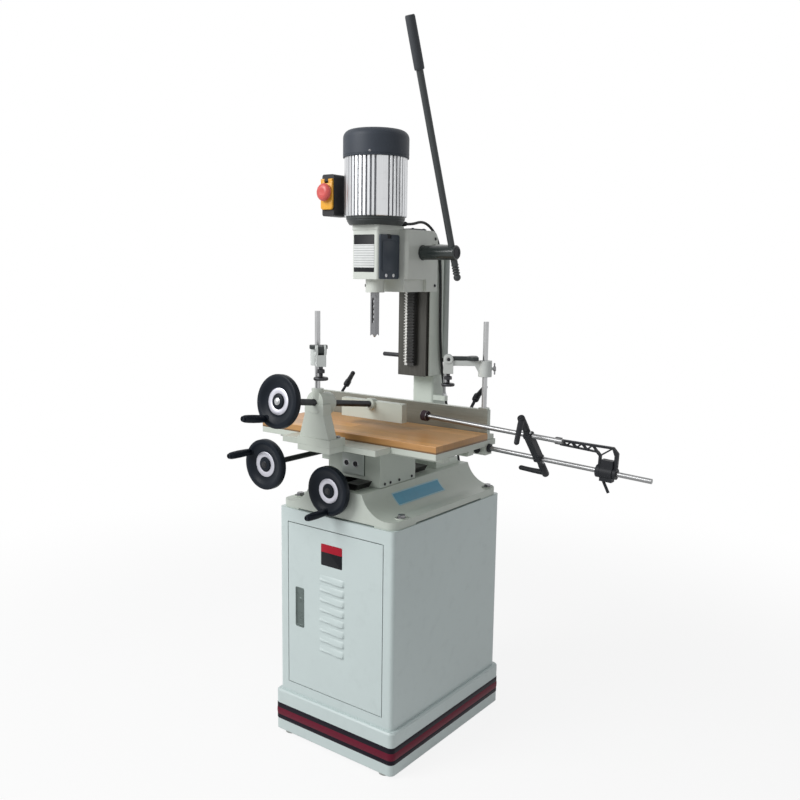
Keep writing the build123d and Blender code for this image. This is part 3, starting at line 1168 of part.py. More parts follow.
def head():
    """Head casting on the column way, with its nose, chuck bay, chisel holder boss and chuck cover."""
    half = HEAD_W / 2
    with BuildSketch() as side:
        Polygon((head_front, head_low), (head_back, head_low), (head_back, head_top), (head_front, head_top),
                align=None)
        fillet(side.vertices().sort_by(Axis.X)[-2:].sort_by(Axis.Y)[-1], HEAD_REAR_R)
    casting = Pos(-half, 0, 0) * SIDEWAYS * extrude(side.sketch, HEAD_W)
    front_edges = casting.edges().filter_by(Axis.Z).group_by(Axis.Y)[0]
    casting = fillet(front_edges, HEAD_R)
    depth = head_front - nose_front + HEAD_R * 2
    nose_mid = nose_front + depth / 2
    casting += Pos(0, nose_mid, nose_low) * extrude(RectangleRounded(NOSE_W, depth, NOSE_R),
                                                    nose_top - nose_low)
    cap = RectangleRounded(NOSE_W + 2 * CAP_OUT, depth + 2 * CAP_OUT, NOSE_R)
    casting += Pos(0, nose_mid, nose_top) * extrude(cap, CAP_H)
    casting += rod_z(HOLDER_R, holder_low, nose_low + CUT, 0, spindle_y)
    casting -= rod_z(CHUCK_BAY_R, nose_low + NOSE_FLOOR, cap_top - CAP_T, 0, spindle_y)
    casting -= rod_z(SHAFT_R * 2, cap_top - CAP_T - 2 * CUT, cap_top + CUT, 0, spindle_y)
    casting -= rod_z(CHISEL_SHANK_R + FIT, holder_low - CUT, nose_low + NOSE_FLOOR + 2 * CUT, 0, spindle_y)
    casting -= block(0, NOSE_W, cover_front + COVER_LAP, cover_back - COVER_LAP, cover_low + COVER_LAP,
                     cover_top - COVER_LAP)

    back = column_back
    inner = column_half - COLUMN_WAY_IN
    casting -= prism_z([(-column_half - CLEAR, COLUMN_FRONT - CLEAR), (column_half + CLEAR,
                                                                       COLUMN_FRONT - CLEAR),
                        (inner + CLEAR, back + CUT), (-inner - CLEAR, back + CUT)], head_low - CUT,
                        head_top + CUT)
    rack_tip = feed_pitch_y - ADDENDUM * FEED_MODULE
    casting -= block(-RACK_W / 2 - CUT, RACK_W / 2 + CUT, rack_tip - CUT, COLUMN_FRONT, head_low - CUT,
                     head_top + CUT)
    pocket = feed_r + FEED_MODULE + 2 * CUT
    casting -= rod_x(pocket, -RACK_W / 2 - CUT, RACK_W / 2 + CUT, feed_y, feed_z)
    casting -= rod_x(FEED_SHAFT_R + FIT, -RACK_W / 2 - FEED_SHAFT_LEFT - CUT, half + CUT, feed_y, feed_z)
    casting -= block(half - HEAD_STEP_IN, half + CUT, head_front - CUT, head_front + HEAD_STEP_D,
                     head_low - CUT, nose_low)
    arm_low = gas_tube_top + CLEAR
    casting += block(half - GAS_ARM_IN, GAS_X + GAS_TUBE_R, head_back - GAS_ARM_LAP, gas_y + GAS_TUBE_R,
                     arm_low, arm_low + GAS_ARM_T)
    keep("head_casting", casting)

    cover = block(NOSE_W / 2, NOSE_W / 2 + COVER_T, cover_front, cover_back, cover_low, cover_top)
    cover = fillet(cover.edges().filter_by(Axis.X), NOSE_R)
    notch = block(NOSE_W / 2 - CUT, NOSE_W / 2 + COVER_T + CUT, spindle_y - NOTCH_W / 2,
                  spindle_y + NOTCH_W / 2,
                  cover_top - NOTCH_H, cover_top + CUT)
    keep("chuck_cover", cover - notch)
    tube = rod_z(GAS_TUBE_R, gas_tube_low, gas_tube_top, GAS_X, gas_y)
    tube += rod_z(GAS_ROD_R, gas_tube_top - CUT, arm_low, GAS_X, gas_y)
    tube -= rod_z(GAS_ROD_R + FIT, gas_tube_low - CUT, gas_tube_top - GAS_TUBE_PLUG, GAS_X, gas_y)
    keep("gas_spring_tube", tube)


def motor():
    """Finned motor with its lower bell, fan cover, rotor, chuck, auger and hollow chisel."""
    at = Pos(0, spindle_y, 0)
    body = rod_z(MOTOR_R, bell_top, motor_top, 0, 0)
    for index in range(FIN_COUNT):
        body += Rot(0, 0, 360 * index / FIN_COUNT) * block(MOTOR_R - FIN_ROOT, fin_r, -FIN_T / 2,
                                                           FIN_T / 2, bell_top, motor_top)
    body += block(switch_right, -MOTOR_R / 2, -PAD_W / 2, PAD_W / 2, pad_low, pad_low + PAD_H)
    body += rod_z(fan_cover_r - FAN_COVER_T, fan_cover_low, motor_top, 0, 0)
    body -= rod_z(motor_bore, bell_top - CUT, motor_top - END_PLATE, 0, 0)
    body -= rod_z(SHAFT_R + FIT, bell_top, motor_top + CUT, 0, 0)
    keep("motor_body", at * body)
    bell = turned([(SHAFT_R + FIT, cap_top), (bell_low_r, cap_top), (MOTOR_R, bell_top - BELL_RIM),
                   (MOTOR_R, bell_top), (SHAFT_R + FIT, bell_top)])
    bell -= rod_y(GLAND_R * 0.6, gland_y - GLAND_SET - CUT, MOTOR_R * 1.2, GLAND_X, gland_z)
    bell -= rod_y(GLAND_R + CLEAR, gland_y + GLAND_L * 0.2, MOTOR_R * 1.2, GLAND_X, gland_z)
    keep("motor_flange", at * bell)
    r = fan_cover_r
    low = fan_cover_low
    top = fan_cover_top
    t = FAN_COVER_T
    round_r = FAN_COVER_ROUND
    dome = [(r - round_r * (1 - math.cos(math.radians(a))), top - round_r * (1 - math.sin(math.radians(a))))
            for a in (0, 30, 60, 90)]
    inner = [(x - t, z - t) for x, z in reversed(dome)]
    cover = turned([(r - t, low), (r, low)] + dome + [(0, top), (0, top - t)] + inner)
    for index in range(VENT_COUNT):
        cover -= Rot(0, 0, 360 * index / VENT_COUNT) * block(r * 0.25, r * 0.68, -VENT_W / 2, VENT_W / 2,
                                                             top - 2 * t, top + CUT)
    keep("fan_cover", at * cover)
    rotor = rod_z(SHAFT_R, chuck_top - CHUCK_SOCKET, fan_low + FAN_H, 0, 0)
    rotor += rod_z(rotor_r, bell_top + ROTOR_LOW, motor_top - END_PLATE - ROTOR_HEAD, 0, 0)
    rotor += rod_z(SHAFT_R * 2, fan_low, fan_low + FAN_H, 0, 0)
    for index in range(FAN_BLADES):
        rotor += Rot(0, 0, 360 * index / FAN_BLADES) * block(SHAFT_R, fan_r, -FAN_BLADE_T / 2,
                                                             FAN_BLADE_T / 2, fan_low, fan_low + FAN_H)
    keep("rotor", at * rotor)
    chuck = turned([(0, chuck_low), (CHUCK_R * 0.45, chuck_low), (CHUCK_R, chuck_low + CHUCK_TAPER),
                    (CHUCK_R, chuck_top),
                    (0, chuck_top)])
    chuck -= rod_z(SHAFT_R, chuck_top - CHUCK_SOCKET, chuck_top + CUT, 0, 0)
    chuck -= rod_z(AUGER_R, chuck_low - CUT, chuck_low + AUGER_SET, 0, 0)
    keep("chuck", at * chuck)
    auger = rod_z(AUGER_R, chisel_tip - AUGER_TIP, chuck_low + AUGER_SET, 0, 0)
    auger += Pos(0, 0, chisel_tip - 2 * AUGER_TIP) * Rot(180, 0,
                                                         0) * Cone(AUGER_R, AUGER_POINT_R, 2 * AUGER_TIP)
    keep("auger_bit", at * auger)
    half = CHISEL_SIDE / 2
    chisel = block(-half, half, -half, half, chisel_tip, holder_low)
    chisel += rod_z(CHISEL_SHANK_R, holder_low - CUT, holder_low + CHISEL_SHANK_L, 0, 0)
    chisel -= rod_z(CHISEL_BORE_R, chisel_tip - CUT, holder_low + CHISEL_SHANK_L + CUT, 0, 0)
    chisel -= Pos(0, 0, chisel_tip + CHISEL_CROWN / 2 - 0.5) * Cone(half * 1.5, CHISEL_BORE_R, CHISEL_CROWN)
    chisel -= block(-CHISEL_SLOT_W / 2, CHISEL_SLOT_W / 2, -half - CUT, 0, chisel_tip + CHISEL_SLOT_LOW,
                    holder_low - CHISEL_SLOT_W * 2)
    keep("hollow_chisel", at * chisel)


def switch():
    """Switch box on the motor's left, its hinged lid and the stop button on the lid."""
    box = block(switch_left, switch_right, switch_front, switch_front + SWITCH_D, switch_low,
                switch_low + SWITCH_H)
    box = fillet(box.edges().filter_by(Axis.Y), SWITCH_R)
    mid = switch_mid
    pin_y = switch_front - LID_T / 2 - CLEAR
    pin_z = lid_top - LID_T / 2
    box += block(mid - LID_LUG_W / 2, mid + LID_LUG_W / 2, switch_front - LID_T, switch_front,
                 lid_top - LID_T, lid_top)
    box += rod_x(LID_PIN_R, mid - LID_LUG_W * 1.3, mid + LID_LUG_W * 1.3, pin_y, pin_z)
    keep("switch_box", box)
    lid = block(mid - LID_W / 2, mid + LID_W / 2, switch_front - CLEAR - LID_T, switch_front - CLEAR,
                lid_low, pin_z)
    lid += rod_x(LID_T / 2, mid - LID_W / 2, mid + LID_W / 2, pin_y, pin_z)
    notch = LID_LUG_W / 2 + CLEAR
    lid -= block(mid - notch, mid + notch, switch_front - LID_T * 2, switch_front, lid_top - LID_T * 1.4,
                 lid_top + CUT)
    lid -= rod_x(LID_PIN_R + FIT, switch_left - CUT, switch_right + CUT, pin_y, pin_z)
    face = switch_front - CLEAR - LID_T
    lid -= rod_y(BUTTON_STEM_R + FIT, face - CUT, switch_front, mid, button_z)
    keep("switch_lid", lid)
    under = face - BUTTON_GAP
    cap = rod_y(BUTTON_R, under - BUTTON_T, under, mid, button_z)
    cap = fillet(cap.edges().group_by(Axis.Y)[0], BUTTON_T * 0.6)
    cap += rod_y(BUTTON_STEM_R, under - CUT, face + LID_T - BUTTON_GAP + CUT, mid, button_z)
    keep("stop_button", cap)


def feed():
    """Feed pinion on its shaft, the hub outside the head and the feed lever with its grip."""
    half = HEAD_W / 2
    wheel = gear(FEED_MODULE, FEED_TEETH, FEED_WIDTH)
    pinion = Pos(0, feed_y, feed_z) * SIDEWAYS * wheel
    pinion += rod_x(FEED_SHAFT_R, -RACK_W / 2 - FEED_SHAFT_LEFT, feed_shaft_end, feed_y, feed_z)
    keep("feed_pinion", pinion)
    hub = rod_x(HUB_R, half + CLEAR, hub_end, feed_y, feed_z)
    hub = chamfer(hub.edges().filter_by(GeomType.CIRCLE), HUB_CHAMFER)
    hub -= rod_x(FEED_SHAFT_R, half - CUT, feed_shaft_end, feed_y, feed_z)
    lean = Pos(lever_x, feed_y, feed_z) * Rot(LEVER_LEAN, 0, 0)
    hub -= lean * Cylinder(FEED_LEVER_R, HUB_R * 4)
    keep("feed_hub", hub)
    lever = rod_z(FEED_LEVER_R, -FEED_STUB_L, FEED_LEVER_L - GRIP_L + 2 * CUT, 0, 0)
    lever += rod_z(FEED_STUB_R, -FEED_STUB_L, -HUB_R - FEED_STUB_NECK, 0, 0)
    lever += Pos(0, 0, -FEED_STUB_L) * Sphere(FEED_STUB_R)
    start = FEED_LEVER_L - GRIP_L
    lever += turned([(0, start), (GRIP_R * 0.85, start), (GRIP_R, start + GRIP_SWELL),
                     (GRIP_R, FEED_LEVER_L - GRIP_END),
                     (GRIP_R * 0.7, FEED_LEVER_L - 2 * CUT), (0, FEED_LEVER_L)])
    keep("feed_lever", lean * lever)


def cord():
    """Gland on the motor's lower bell, the mains cord down the back, and its plug on the floor."""
    exit_y = spindle_y + gland_y + GLAND_L
    gland = Pos(GLAND_X, exit_y, gland_z) * Rot(90, 0, 0) * turned(
        [(0, 0), (CORD_R + GLAND_LIP, 0), (GLAND_R, GLAND_L * 0.7), (GLAND_R, GLAND_L * 0.8),
         (GLAND_R * 0.6, GLAND_L * 0.8),
         (GLAND_R * 0.6, GLAND_L + GLAND_SET), (0, GLAND_L + GLAND_SET)])
    keep("cord_gland", gland)
    points = [(GLAND_X, exit_y, gland_z), (GLAND_X, exit_y + GLAND_L, gland_z)]
    points += [(column_half + x, COLUMN_FRONT + y, gland_z + z) for x, y, z in CORD_HEAD]
    points += [(x, body_d / 2 + y, base_top + z) for x, y, z in CORD_BASE]
    points += [(x, body_d / 2 + y, z) for x, y, z in CORD_FLOOR]
    runs = [Vector(*b) - Vector(*a) for a, b in zip(points, points[1:])]
    radii = []
    for before, after in zip(runs, runs[1:]):
        turn = math.radians(before.get_angle(after))
        radii.append(CORD_BEND * min(before.length, after.length) / math.tan(turn / 2))
    path = FilletPolyline(*points, radius=radii)
    section = Plane(origin=path @ 0, z_dir=path % 0) * Circle(CORD_R)
    tube = sweep(section, path)
    keep("mains_cord", tube)
    end = Plane(origin=path @ 1, x_dir=(0, 0, 1), z_dir=path % 1)
    plug = turned([(0, 0), (CORD_R + CUT, 0), (PLUG_R * 0.75, PLUG_L * 0.35), (PLUG_R * 0.75, PLUG_L),
                   (0, PLUG_L)])
    for side in (-1, 1):
        plug += Pos(0, side * PRONG_GAP / 4,
                    PLUG_L + PRONG_L / 2 - CUT) * Cylinder(PRONG_R, PRONG_L + 2 * CUT)
    keep("plug", end * plug)


def main():
    """Build every piece and write one STEP file for each node."""
    cabinet()
    door()
    base()
    cross_slide()
    table_drive()
    table()
    vise()
    fence()
    hold_down(Pos(rear_rod_x, rear_rod_y, rear_arm_z) * Rot(0, 0, REAR_ARM_TURN), "rear")
    hold_down(Pos(0, front_rod_y, front_arm_z) * Rot(0, 0, FRONT_ARM_TURN), "front")
    work_stops()
    column()
    head()
    motor()
    switch()
    feed()
    cord()
    os.makedirs("parts", exist_ok=True)
    for name, piece in NODES.items():
        export_step(piece, f"parts/{name}.step")
    print(len(NODES), "nodes")


main()
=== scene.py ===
"""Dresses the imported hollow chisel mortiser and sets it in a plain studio.

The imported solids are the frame. Each class made from Assembly is one sub-assembly: its sizes are
fields in millimetres, in the machine's own frame (+X right, -Y front, +Z up, origin on the floor), and
its methods make the pieces that the solids leave plain and give every piece its finish.
"""
from __future__ import annotations

import json
import logging
import math
from dataclasses import dataclass, field, replace
from enum import Enum
from typing import Optional, Sequence, Union

import bmesh
import bpy
from mathutils import Matrix, Vector

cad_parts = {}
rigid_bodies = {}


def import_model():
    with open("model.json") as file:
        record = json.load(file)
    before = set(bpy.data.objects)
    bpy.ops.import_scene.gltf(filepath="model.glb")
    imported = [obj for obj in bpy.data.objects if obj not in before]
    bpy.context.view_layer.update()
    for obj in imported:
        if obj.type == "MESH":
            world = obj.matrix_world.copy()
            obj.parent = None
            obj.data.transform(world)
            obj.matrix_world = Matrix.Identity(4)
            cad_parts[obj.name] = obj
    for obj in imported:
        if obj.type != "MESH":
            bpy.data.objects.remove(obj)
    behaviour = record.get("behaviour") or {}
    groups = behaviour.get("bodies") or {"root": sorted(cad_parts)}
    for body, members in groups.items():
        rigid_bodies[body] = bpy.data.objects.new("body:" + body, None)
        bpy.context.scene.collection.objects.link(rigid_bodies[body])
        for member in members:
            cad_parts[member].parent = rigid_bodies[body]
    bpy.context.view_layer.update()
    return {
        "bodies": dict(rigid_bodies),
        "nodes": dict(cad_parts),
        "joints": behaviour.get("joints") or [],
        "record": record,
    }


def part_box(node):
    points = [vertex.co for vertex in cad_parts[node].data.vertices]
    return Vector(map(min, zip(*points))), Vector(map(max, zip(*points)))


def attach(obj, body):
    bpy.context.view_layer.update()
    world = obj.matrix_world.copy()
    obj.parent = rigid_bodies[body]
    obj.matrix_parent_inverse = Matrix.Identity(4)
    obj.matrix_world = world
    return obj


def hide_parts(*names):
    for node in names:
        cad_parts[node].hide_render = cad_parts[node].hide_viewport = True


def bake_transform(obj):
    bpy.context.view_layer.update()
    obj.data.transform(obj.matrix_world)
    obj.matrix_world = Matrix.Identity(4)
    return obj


LOG = logging.getLogger("mortiser")
MM = 0.001
Tint = tuple[float, float, float]
Point = tuple[float, float, float]
Flat = tuple[float, float]
Shade = tuple[float, float, float, float]
Nodes = dict[str, bpy.types.Object]
WHITE: Shade = (1.0, 1.0, 1.0, 1.0)
CREASE = 32.0
NEAR = 1e-6
FACE_ORDER = Vector((1.0, 1e3, 1e6))


def shade(red: int, green: int, blue: int) -> Tint:
    """A display colour, of three parts from 0 to 255, as linear light."""
    parts = (red / 255, green / 255, blue / 255)
    return tuple(p / 12.92 if p <= 0.04045 else ((p + 0.055) / 1.055) ** 2.4 for p in parts)


def toned(tint: Tint, share: float) -> Shade:
    """A tint made lighter or darker, ready for a colour socket."""
    return tint[0] * share, tint[1] * share, tint[2] * share, 1.0


def paled(tint: Tint, share: float, lift: float) -> Shade:
    """A tint bleached towards white, ready for a colour socket."""
    return tuple(min(1.0, part * share + lift) for part in tint) + (1.0,)


def moved(x: float, y: float, z: float) -> Matrix:
    """A shift in millimetres."""
    return Matrix.Translation((x, y, z))


def spun(axis: str, degrees: float) -> Matrix:
    """A turn about one axis."""
    return Matrix.Rotation(math.radians(degrees), 4, axis)


def to_front(x: float, y: float, z: float) -> Matrix:
    """A frame at a point, its z to the front and its y up."""
    return moved(x, y, z) @ spun("X", 90)


def to_right(x: float, y: float, z: float) -> Matrix:
    """A frame at a point, its z to the right and its x down."""
    return moved(x, y, z) @ spun("Y", 90)


def to_side(x: float, y: float, z: float) -> Matrix:
    """A frame at a point, its z to the right and its y up."""
    return to_right(x, y, z) @ spun("Z", 90)


def polar(radius: float, degrees: float) -> Flat:
    """A flat point by its distance and bearing."""
    return radius * math.cos(math.radians(degrees)), radius * math.sin(math.radians(degrees))


def level(outline: Sequence[Flat], height: float) -> list[Point]:
    """An outline laid at a height."""
    return [(x, y, height) for x, y in outline]


def linked(name: str, data: bpy.types.ID) -> bpy.types.Object:
    """A new object in the scene.

    Args:
        name: its name.
        data: its mesh, curve, camera or lamp.

    Returns:
        The object.
    """
    made = bpy.data.objects.new(name, data)
    bpy.context.scene.collection.objects.link(made)
    return made


class Way(Enum):
    """An axis of the machine, by its place in a vector."""

    ACROSS = 0
    DEEP = 1
    UP = 2


class Slot(Enum):
    """The record's material slots."""

    PAINT = "paint"
    LATCH = "latch_grey"
    STEEL = "steel"
    DARK_STEEL = "dark_steel"
    WHEEL = "wheel_black"
    BLACK_PLASTIC = "black_plastic"
    BLACK_PAINT = "black_paint"
    ALUMINIUM = "aluminium"
    YELLOW = "yellow"
    RED = "red"
    CORD = "cord_rubber"


class Wire:
    """A node's socket that Python's operators add Math nodes to."""

    def __init__(self, graph: Graph, socket: bpy.types.NodeSocket) -> None:
        """Keep a socket and the graph that it is in."""
        self.graph = graph
        self.socket = socket

    def joined(self, operation: str, first: Value, second: Value) -> Wire:
        """One Math node on two values."""
        return self.graph.node("ShaderNodeMath", {"operation": operation}, {0: first, 1: second})

    def __add__(self, other: Value) -> Wire:
        """The sum."""
        return self.joined("ADD", self, other)

    def __radd__(self, other: Value) -> Wire:
        """The sum, from the right."""
        return self.joined("ADD", other, self)

    def __sub__(self, other: Value) -> Wire:
        """The difference."""
        return self.joined("SUBTRACT", self, other)

    def __rsub__(self, other: Value) -> Wire:
        """The difference, from the right."""
        return self.joined("SUBTRACT", other, self)

    def __mul__(self, other: Value) -> Wire:
        """The product."""
        return self.joined("MULTIPLY", self, other)

    def __rmul__(self, other: Value) -> Wire:
        """The product, from the right."""
        return self.joined("MULTIPLY", other, self)

    def __truediv__(self, other: Value) -> Wire:
        """The quotient."""
        return self.joined("DIVIDE", self, other)

    def __rtruediv__(self, other: Value) -> Wire:
        """The quotient, from the right."""
        return self.joined("DIVIDE", other, self)

    def floored(self) -> Wire:
        """The whole part."""
        return self.joined("FLOOR", self, 0.0)

    def rooted(self) -> Wire:
        """The square root."""
        return self.joined("SQRT", self, 0.0)


Value = Union[Wire, float, int, tuple, Vector]


class Graph:
    """One node tree, of a material or of the world."""

    def __init__(self, tree: bpy.types.NodeTree) -> None:
        """Start from an empty tree.

        Args:
            tree: the tree that is filled.
        """
        self.tree = tree
        tree.nodes.clear()
        self.coordinates: Optional[Wire] = None

    def node(self, kind: str, settings: Optional[dict] = None, inputs: Optional[dict] = None,
             output: Union[int, str] = 0) -> Wire:
        """Add one node.

        Args:
            kind: the node's type.
            settings: its own properties, set first.
            inputs: values or wires by socket name or number.
            output: the socket wanted from it.

        Returns:
            The wire from that socket, or one with no socket for an output node.
        """
        made = self.tree.nodes.new(kind)
        for name, value in (settings or {}).items():
            setattr(made, name, value)
        for name, value in (inputs or {}).items():
            if isinstance(value, Wire):
                self.tree.links.new(value.socket, made.inputs[name])
            else:
                made.inputs[name].default_value = value
        return Wire(self, made.outputs[output] if len(made.outputs) else None)

    def place(self) -> Wire:
        """The point on the piece, in its own frame, from the one coordinate node of the tree."""
        self.coordinates = self.coordinates or self.node("ShaderNodeTexCoord", output="Object")
        return self.coordinates

    def along(self, way: Way) -> Wire:
        """The point's distance along one axis, in metres."""
        return self.node("ShaderNodeSeparateXYZ", inputs={0: self.place()}, output=way.value)

    def stretched(self, scale: Point) -> Wire:
        """The point with each axis scaled by itself."""
        return self.node("ShaderNodeVectorMath", {"operation": "MULTIPLY"}, {0: self.place(), 1: scale})

    def noise(self, scale: float, detail: float = 2.0, at: Optional[Wire] = None) -> Wire:
        """Soft noise from 0 to 1, by features in a metre and octaves, at a point or the plain place."""
        inputs = {"Vector": at or self.place(), "Scale": scale, "Detail": detail, "Roughness": 0.55}
        return self.node("ShaderNodeTexNoise", inputs=inputs, output=0)

    def streaks(self, scale: Point, detail: float) -> Wire:
        """Noise drawn out along the axes of the smaller scales."""
        return self.noise(1.0, detail, self.stretched(scale))

    def scatter(self, value: Wire) -> Wire:
        """A random number for each value."""
        return self.node("ShaderNodeTexWhiteNoise", {"noise_dimensions": "1D"}, {"W": value}, "Value")

    def step(self, value: Value, low: float, high: float) -> Wire:
        """A smooth rise from 0 at low to 1 at high."""
        return self.node("ShaderNodeMapRange", {"interpolation_type": "SMOOTHSTEP"},
                         {0: value, 1: low, 2: high, 3: 0.0, 4: 1.0})

    def blend(self, share: Value, first: Value, second: Value) -> Wire:
        """A mix of two colours."""
        return self.node("ShaderNodeMix", {"data_type": "RGBA"}, {0: share, 6: first, 7: second}, 2)

    def softened(self, radius: float) -> Wire:
        """The normal with sharp edges rounded off, over a radius in metres."""
        return self.node("ShaderNodeBevel", {"samples": 4}, {"Radius": radius})

    def edges(self, soft: Wire) -> Wire:
        """How far the softened normal leans from the plain one: 0 on a flat face, more towards an edge."""
        plain = self.node("ShaderNodeNewGeometry", output="Normal")
        return 1.0 - self.node("ShaderNodeVectorMath", {"operation": "DOT_PRODUCT"}, {0: soft, 1: plain},
                               "Value")

    def bump(self, height: Wire, strength: float, depth: float, normal: Optional[Wire] = None) -> Wire:
        """A normal that follows a height.

        Args:
            height: the height, 0 to 1.
            strength: how much of it shows.
            depth: its depth in metres.
            normal: the normal it starts from.

        Returns:
            The bumped normal.
        """
        inputs = {"Strength": strength, "Distance": depth, "Height": height}
        if normal is not None:
            inputs["Normal"] = normal
        return self.node("ShaderNodeBump", inputs=inputs)

    def surface(self, sockets: dict) -> None:
        """Close the tree with one Principled shader, by values and wires for its sockets."""
        shader = self.node("ShaderNodeBsdfPrincipled", inputs=sockets)
        self.node("ShaderNodeOutputMaterial", inputs={"Surface": shader})


@dataclass(frozen=True)
class Finish:
    """A finish with a name, a tint and a roughness; the lengths in a finish are in metres."""

    name: str
    tint: Tint
    rough: float

    def material(self) -> bpy.types.Material:
        """The finish's material, made once.

        Returns:
            The material.
        """
        made = bpy.data.materials.get(self.name)
        if made is None:
            made = bpy.data.materials.new(self.name)
            made.use_nodes = True
            self.dress(Graph(made.node_tree))
        return made

    def dress(self, graph: Graph) -> None:
        """Fill the material's tree; each finish has its own way."""
        raise NotImplementedError

    def tones(self, graph: Graph, share: Value, low: float, high: float) -> Wire:
        """The tint, between two tones of it."""
        return graph.blend(share, toned(self.tint, low), toned(self.tint, high))


@dataclass(frozen=True)
class Enamel(Finish):
    """Sprayed machine paint, with faint mottling, worn edges and perhaps bare machined iron past a line."""

    peel: float = 420.0
    wear: float = 0.5
    coat: float = 0.12
    bare_way: Optional[Way] = None
    bare_from: float = 0.0
    bare_above: bool = True
    iron: Tint = (0.045, 0.047, 0.044)
    ground_marks: Point = (900.0, 900.0, 18.0)
    ground_tones: Flat = (0.6, 1.5)

    def dress(self, graph: Graph) -> None:
        """Paint with orange peel, dusty patches and chips at the edges.

        Args:
            graph: the material's tree.
        """
        mottle = graph.noise(6.0, 3.0)
        dust = graph.step(graph.noise(31.0, 4.0), 0.5, 0.8)
        colour = self.tones(graph, mottle, 0.955, 1.035)
        colour = graph.blend(dust * 0.16, colour, toned(self.tint, 0.7))
        soft = graph.softened(0.0016)
        chips = graph.step(graph.edges(soft), 0.03, 0.22) * graph.step(graph.noise(75.0, 3.0), 0.4, 0.68)
        colour = graph.blend(chips * self.wear, colour, toned(self.tint, 0.55))
        rough = self.rough + (mottle - 0.5) * 0.08 + dust * 0.1
        sockets: dict = {"Coat Weight": self.coat, "Coat Roughness": 0.18}
        normal = graph.bump(graph.noise(self.peel, 1.0), 0.10, 0.0004, soft)
        if self.bare_way is not None:
            edge = 0.2 * MM
            bare = graph.step(graph.along(self.bare_way), self.bare_from - edge, self.bare_from + edge)
            bare = bare if self.bare_above else 1.0 - bare
            lines = graph.streaks(self.ground_marks, 2.0)
            dark, light = self.ground_tones
            ground = graph.blend(lines, toned(self.iron, dark), toned(self.iron, light))
            colour = graph.blend(bare, colour, ground)
            rough = rough + bare * (lines * 0.14 - 0.06)
            sockets["Metallic"] = bare * 0.8
        sockets.update({"Base Color": colour, "Roughness": rough, "Normal": normal})
        graph.surface(sockets)


@dataclass(frozen=True)
class Metal(Finish):
    """Bare metal, its tool marks drawn along one axis, with smudges and oil."""

    marks: Point = (300.0, 300.0, 300.0)
    depth: float = 0.00012
    stain: float = 0.2
    soften: float = 0.0006

    def dress(self, graph: Graph) -> None:
        """Metal with fine marks, uneven gloss and darker stains.

        Args:
            graph: the material's tree.
        """
        marks = graph.streaks(self.marks, 3.0)
        smudge = graph.noise(42.0, 4.0)
        stain = graph.step(graph.noise(95.0, 4.0), 0.52, 0.74)
        colour = self.tones(graph, marks, 0.86, 1.1)
        colour = graph.blend(stain * self.stain, colour, toned(self.tint, 0.42))
        rough = self.rough + (smudge - 0.5) * 0.16 + marks * 0.06 + stain * 0.08
        normal = graph.bump(marks, 0.16, self.depth, graph.softened(self.soften))
        graph.surface({"Base Color": colour, "Roughness": rough, "Metallic": 1.0, "Normal": normal})


@dataclass(frozen=True)
class Finned(Metal):
    """Cast alloy fins round an upright axis, bright at their tips, with painted shade in the grooves between
    them.
    """

    axis_y: float = -0.087
    root: float = 0.0722
    tip: float = 0.0775
    # the colour of the painted shade in the grooves
    groove: Tint = (0.38, 0.39, 0.41)

    def dress(self, graph: Graph) -> None:
        """Alloy with drawn marks, its grooves darkened by painted shade.

        Args:
            graph: the material's tree.
        """
        across = graph.along(Way.ACROSS)
        deep = graph.along(Way.DEEP) - self.axis_y
        reach = (across * across + deep * deep).rooted()
        marks = graph.streaks(self.marks, 3.0)
        smudge = graph.noise(38.0, 4.0)
        bright = self.tones(graph, marks, 0.88, 1.08)
        bright = graph.blend(graph.step(smudge, 0.55, 0.8) * self.stain, bright, toned(self.tint, 0.5))
        # painted shade: the colour darkens from the fin tips down into the grooves
        out = graph.step(reach, self.root, self.tip)
        colour = graph.blend(out, toned(self.groove, 1.0), bright)
        rough = self.rough + (1.0 - out) * 0.3 + (smudge - 0.5) * 0.14
        normal = graph.bump(marks, 0.14, self.depth)
        graph.surface({"Base Color": colour, "Roughness": rough, "Metallic": 0.35 + out * 0.65,
                       "Normal": normal})


@dataclass(frozen=True)
class Toothed(Metal):
    """A rack's steel: dark with grease and painted shade, with a painted highlight in a strip whose edge
    follows the teeth.
    """

    pitch: float = 0.00785
    edge: float = -0.0085
    # the dark of grease and painted shade, away from the bright strip
    grease_and_shade: Tint = (0.045, 0.045, 0.044)

    def dress(self, graph: Graph) -> None:
        """Grease and painted shade, with a painted highlight strip whose edge follows the teeth.

        Args:
            graph: the material's tree.
        """
        wave = graph.node("ShaderNodeMath", {"operation": "PINGPONG"},
                          {0: graph.along(Way.UP), 1: self.pitch / 2})
        blur = graph.noise(160.0, 3.0)
        reach = graph.along(Way.ACROSS) - wave + blur * MM
        # painted highlight: a bright strip along the teeth where they face the light
        lit_strip = 1.0 - graph.step(reach, self.edge - 0.6 * MM, self.edge + 0.6 * MM)
        marks = graph.streaks(self.marks, 3.0)
        dark = graph.blend(blur, toned(self.grease_and_shade, 0.7), toned(self.grease_and_shade, 1.6))
        bright = self.tones(graph, marks, 0.85, 1.1)
        rough = self.rough + blur * 0.12 - lit_strip * 0.06
        normal = graph.bump(marks, 0.16, self.depth, graph.softened(self.soften))
        graph.surface({"Base Color": graph.blend(lit_strip, dark, bright), "Roughness": rough,
                       "Metallic": 0.5 + lit_strip * 0.5, "Normal": normal})


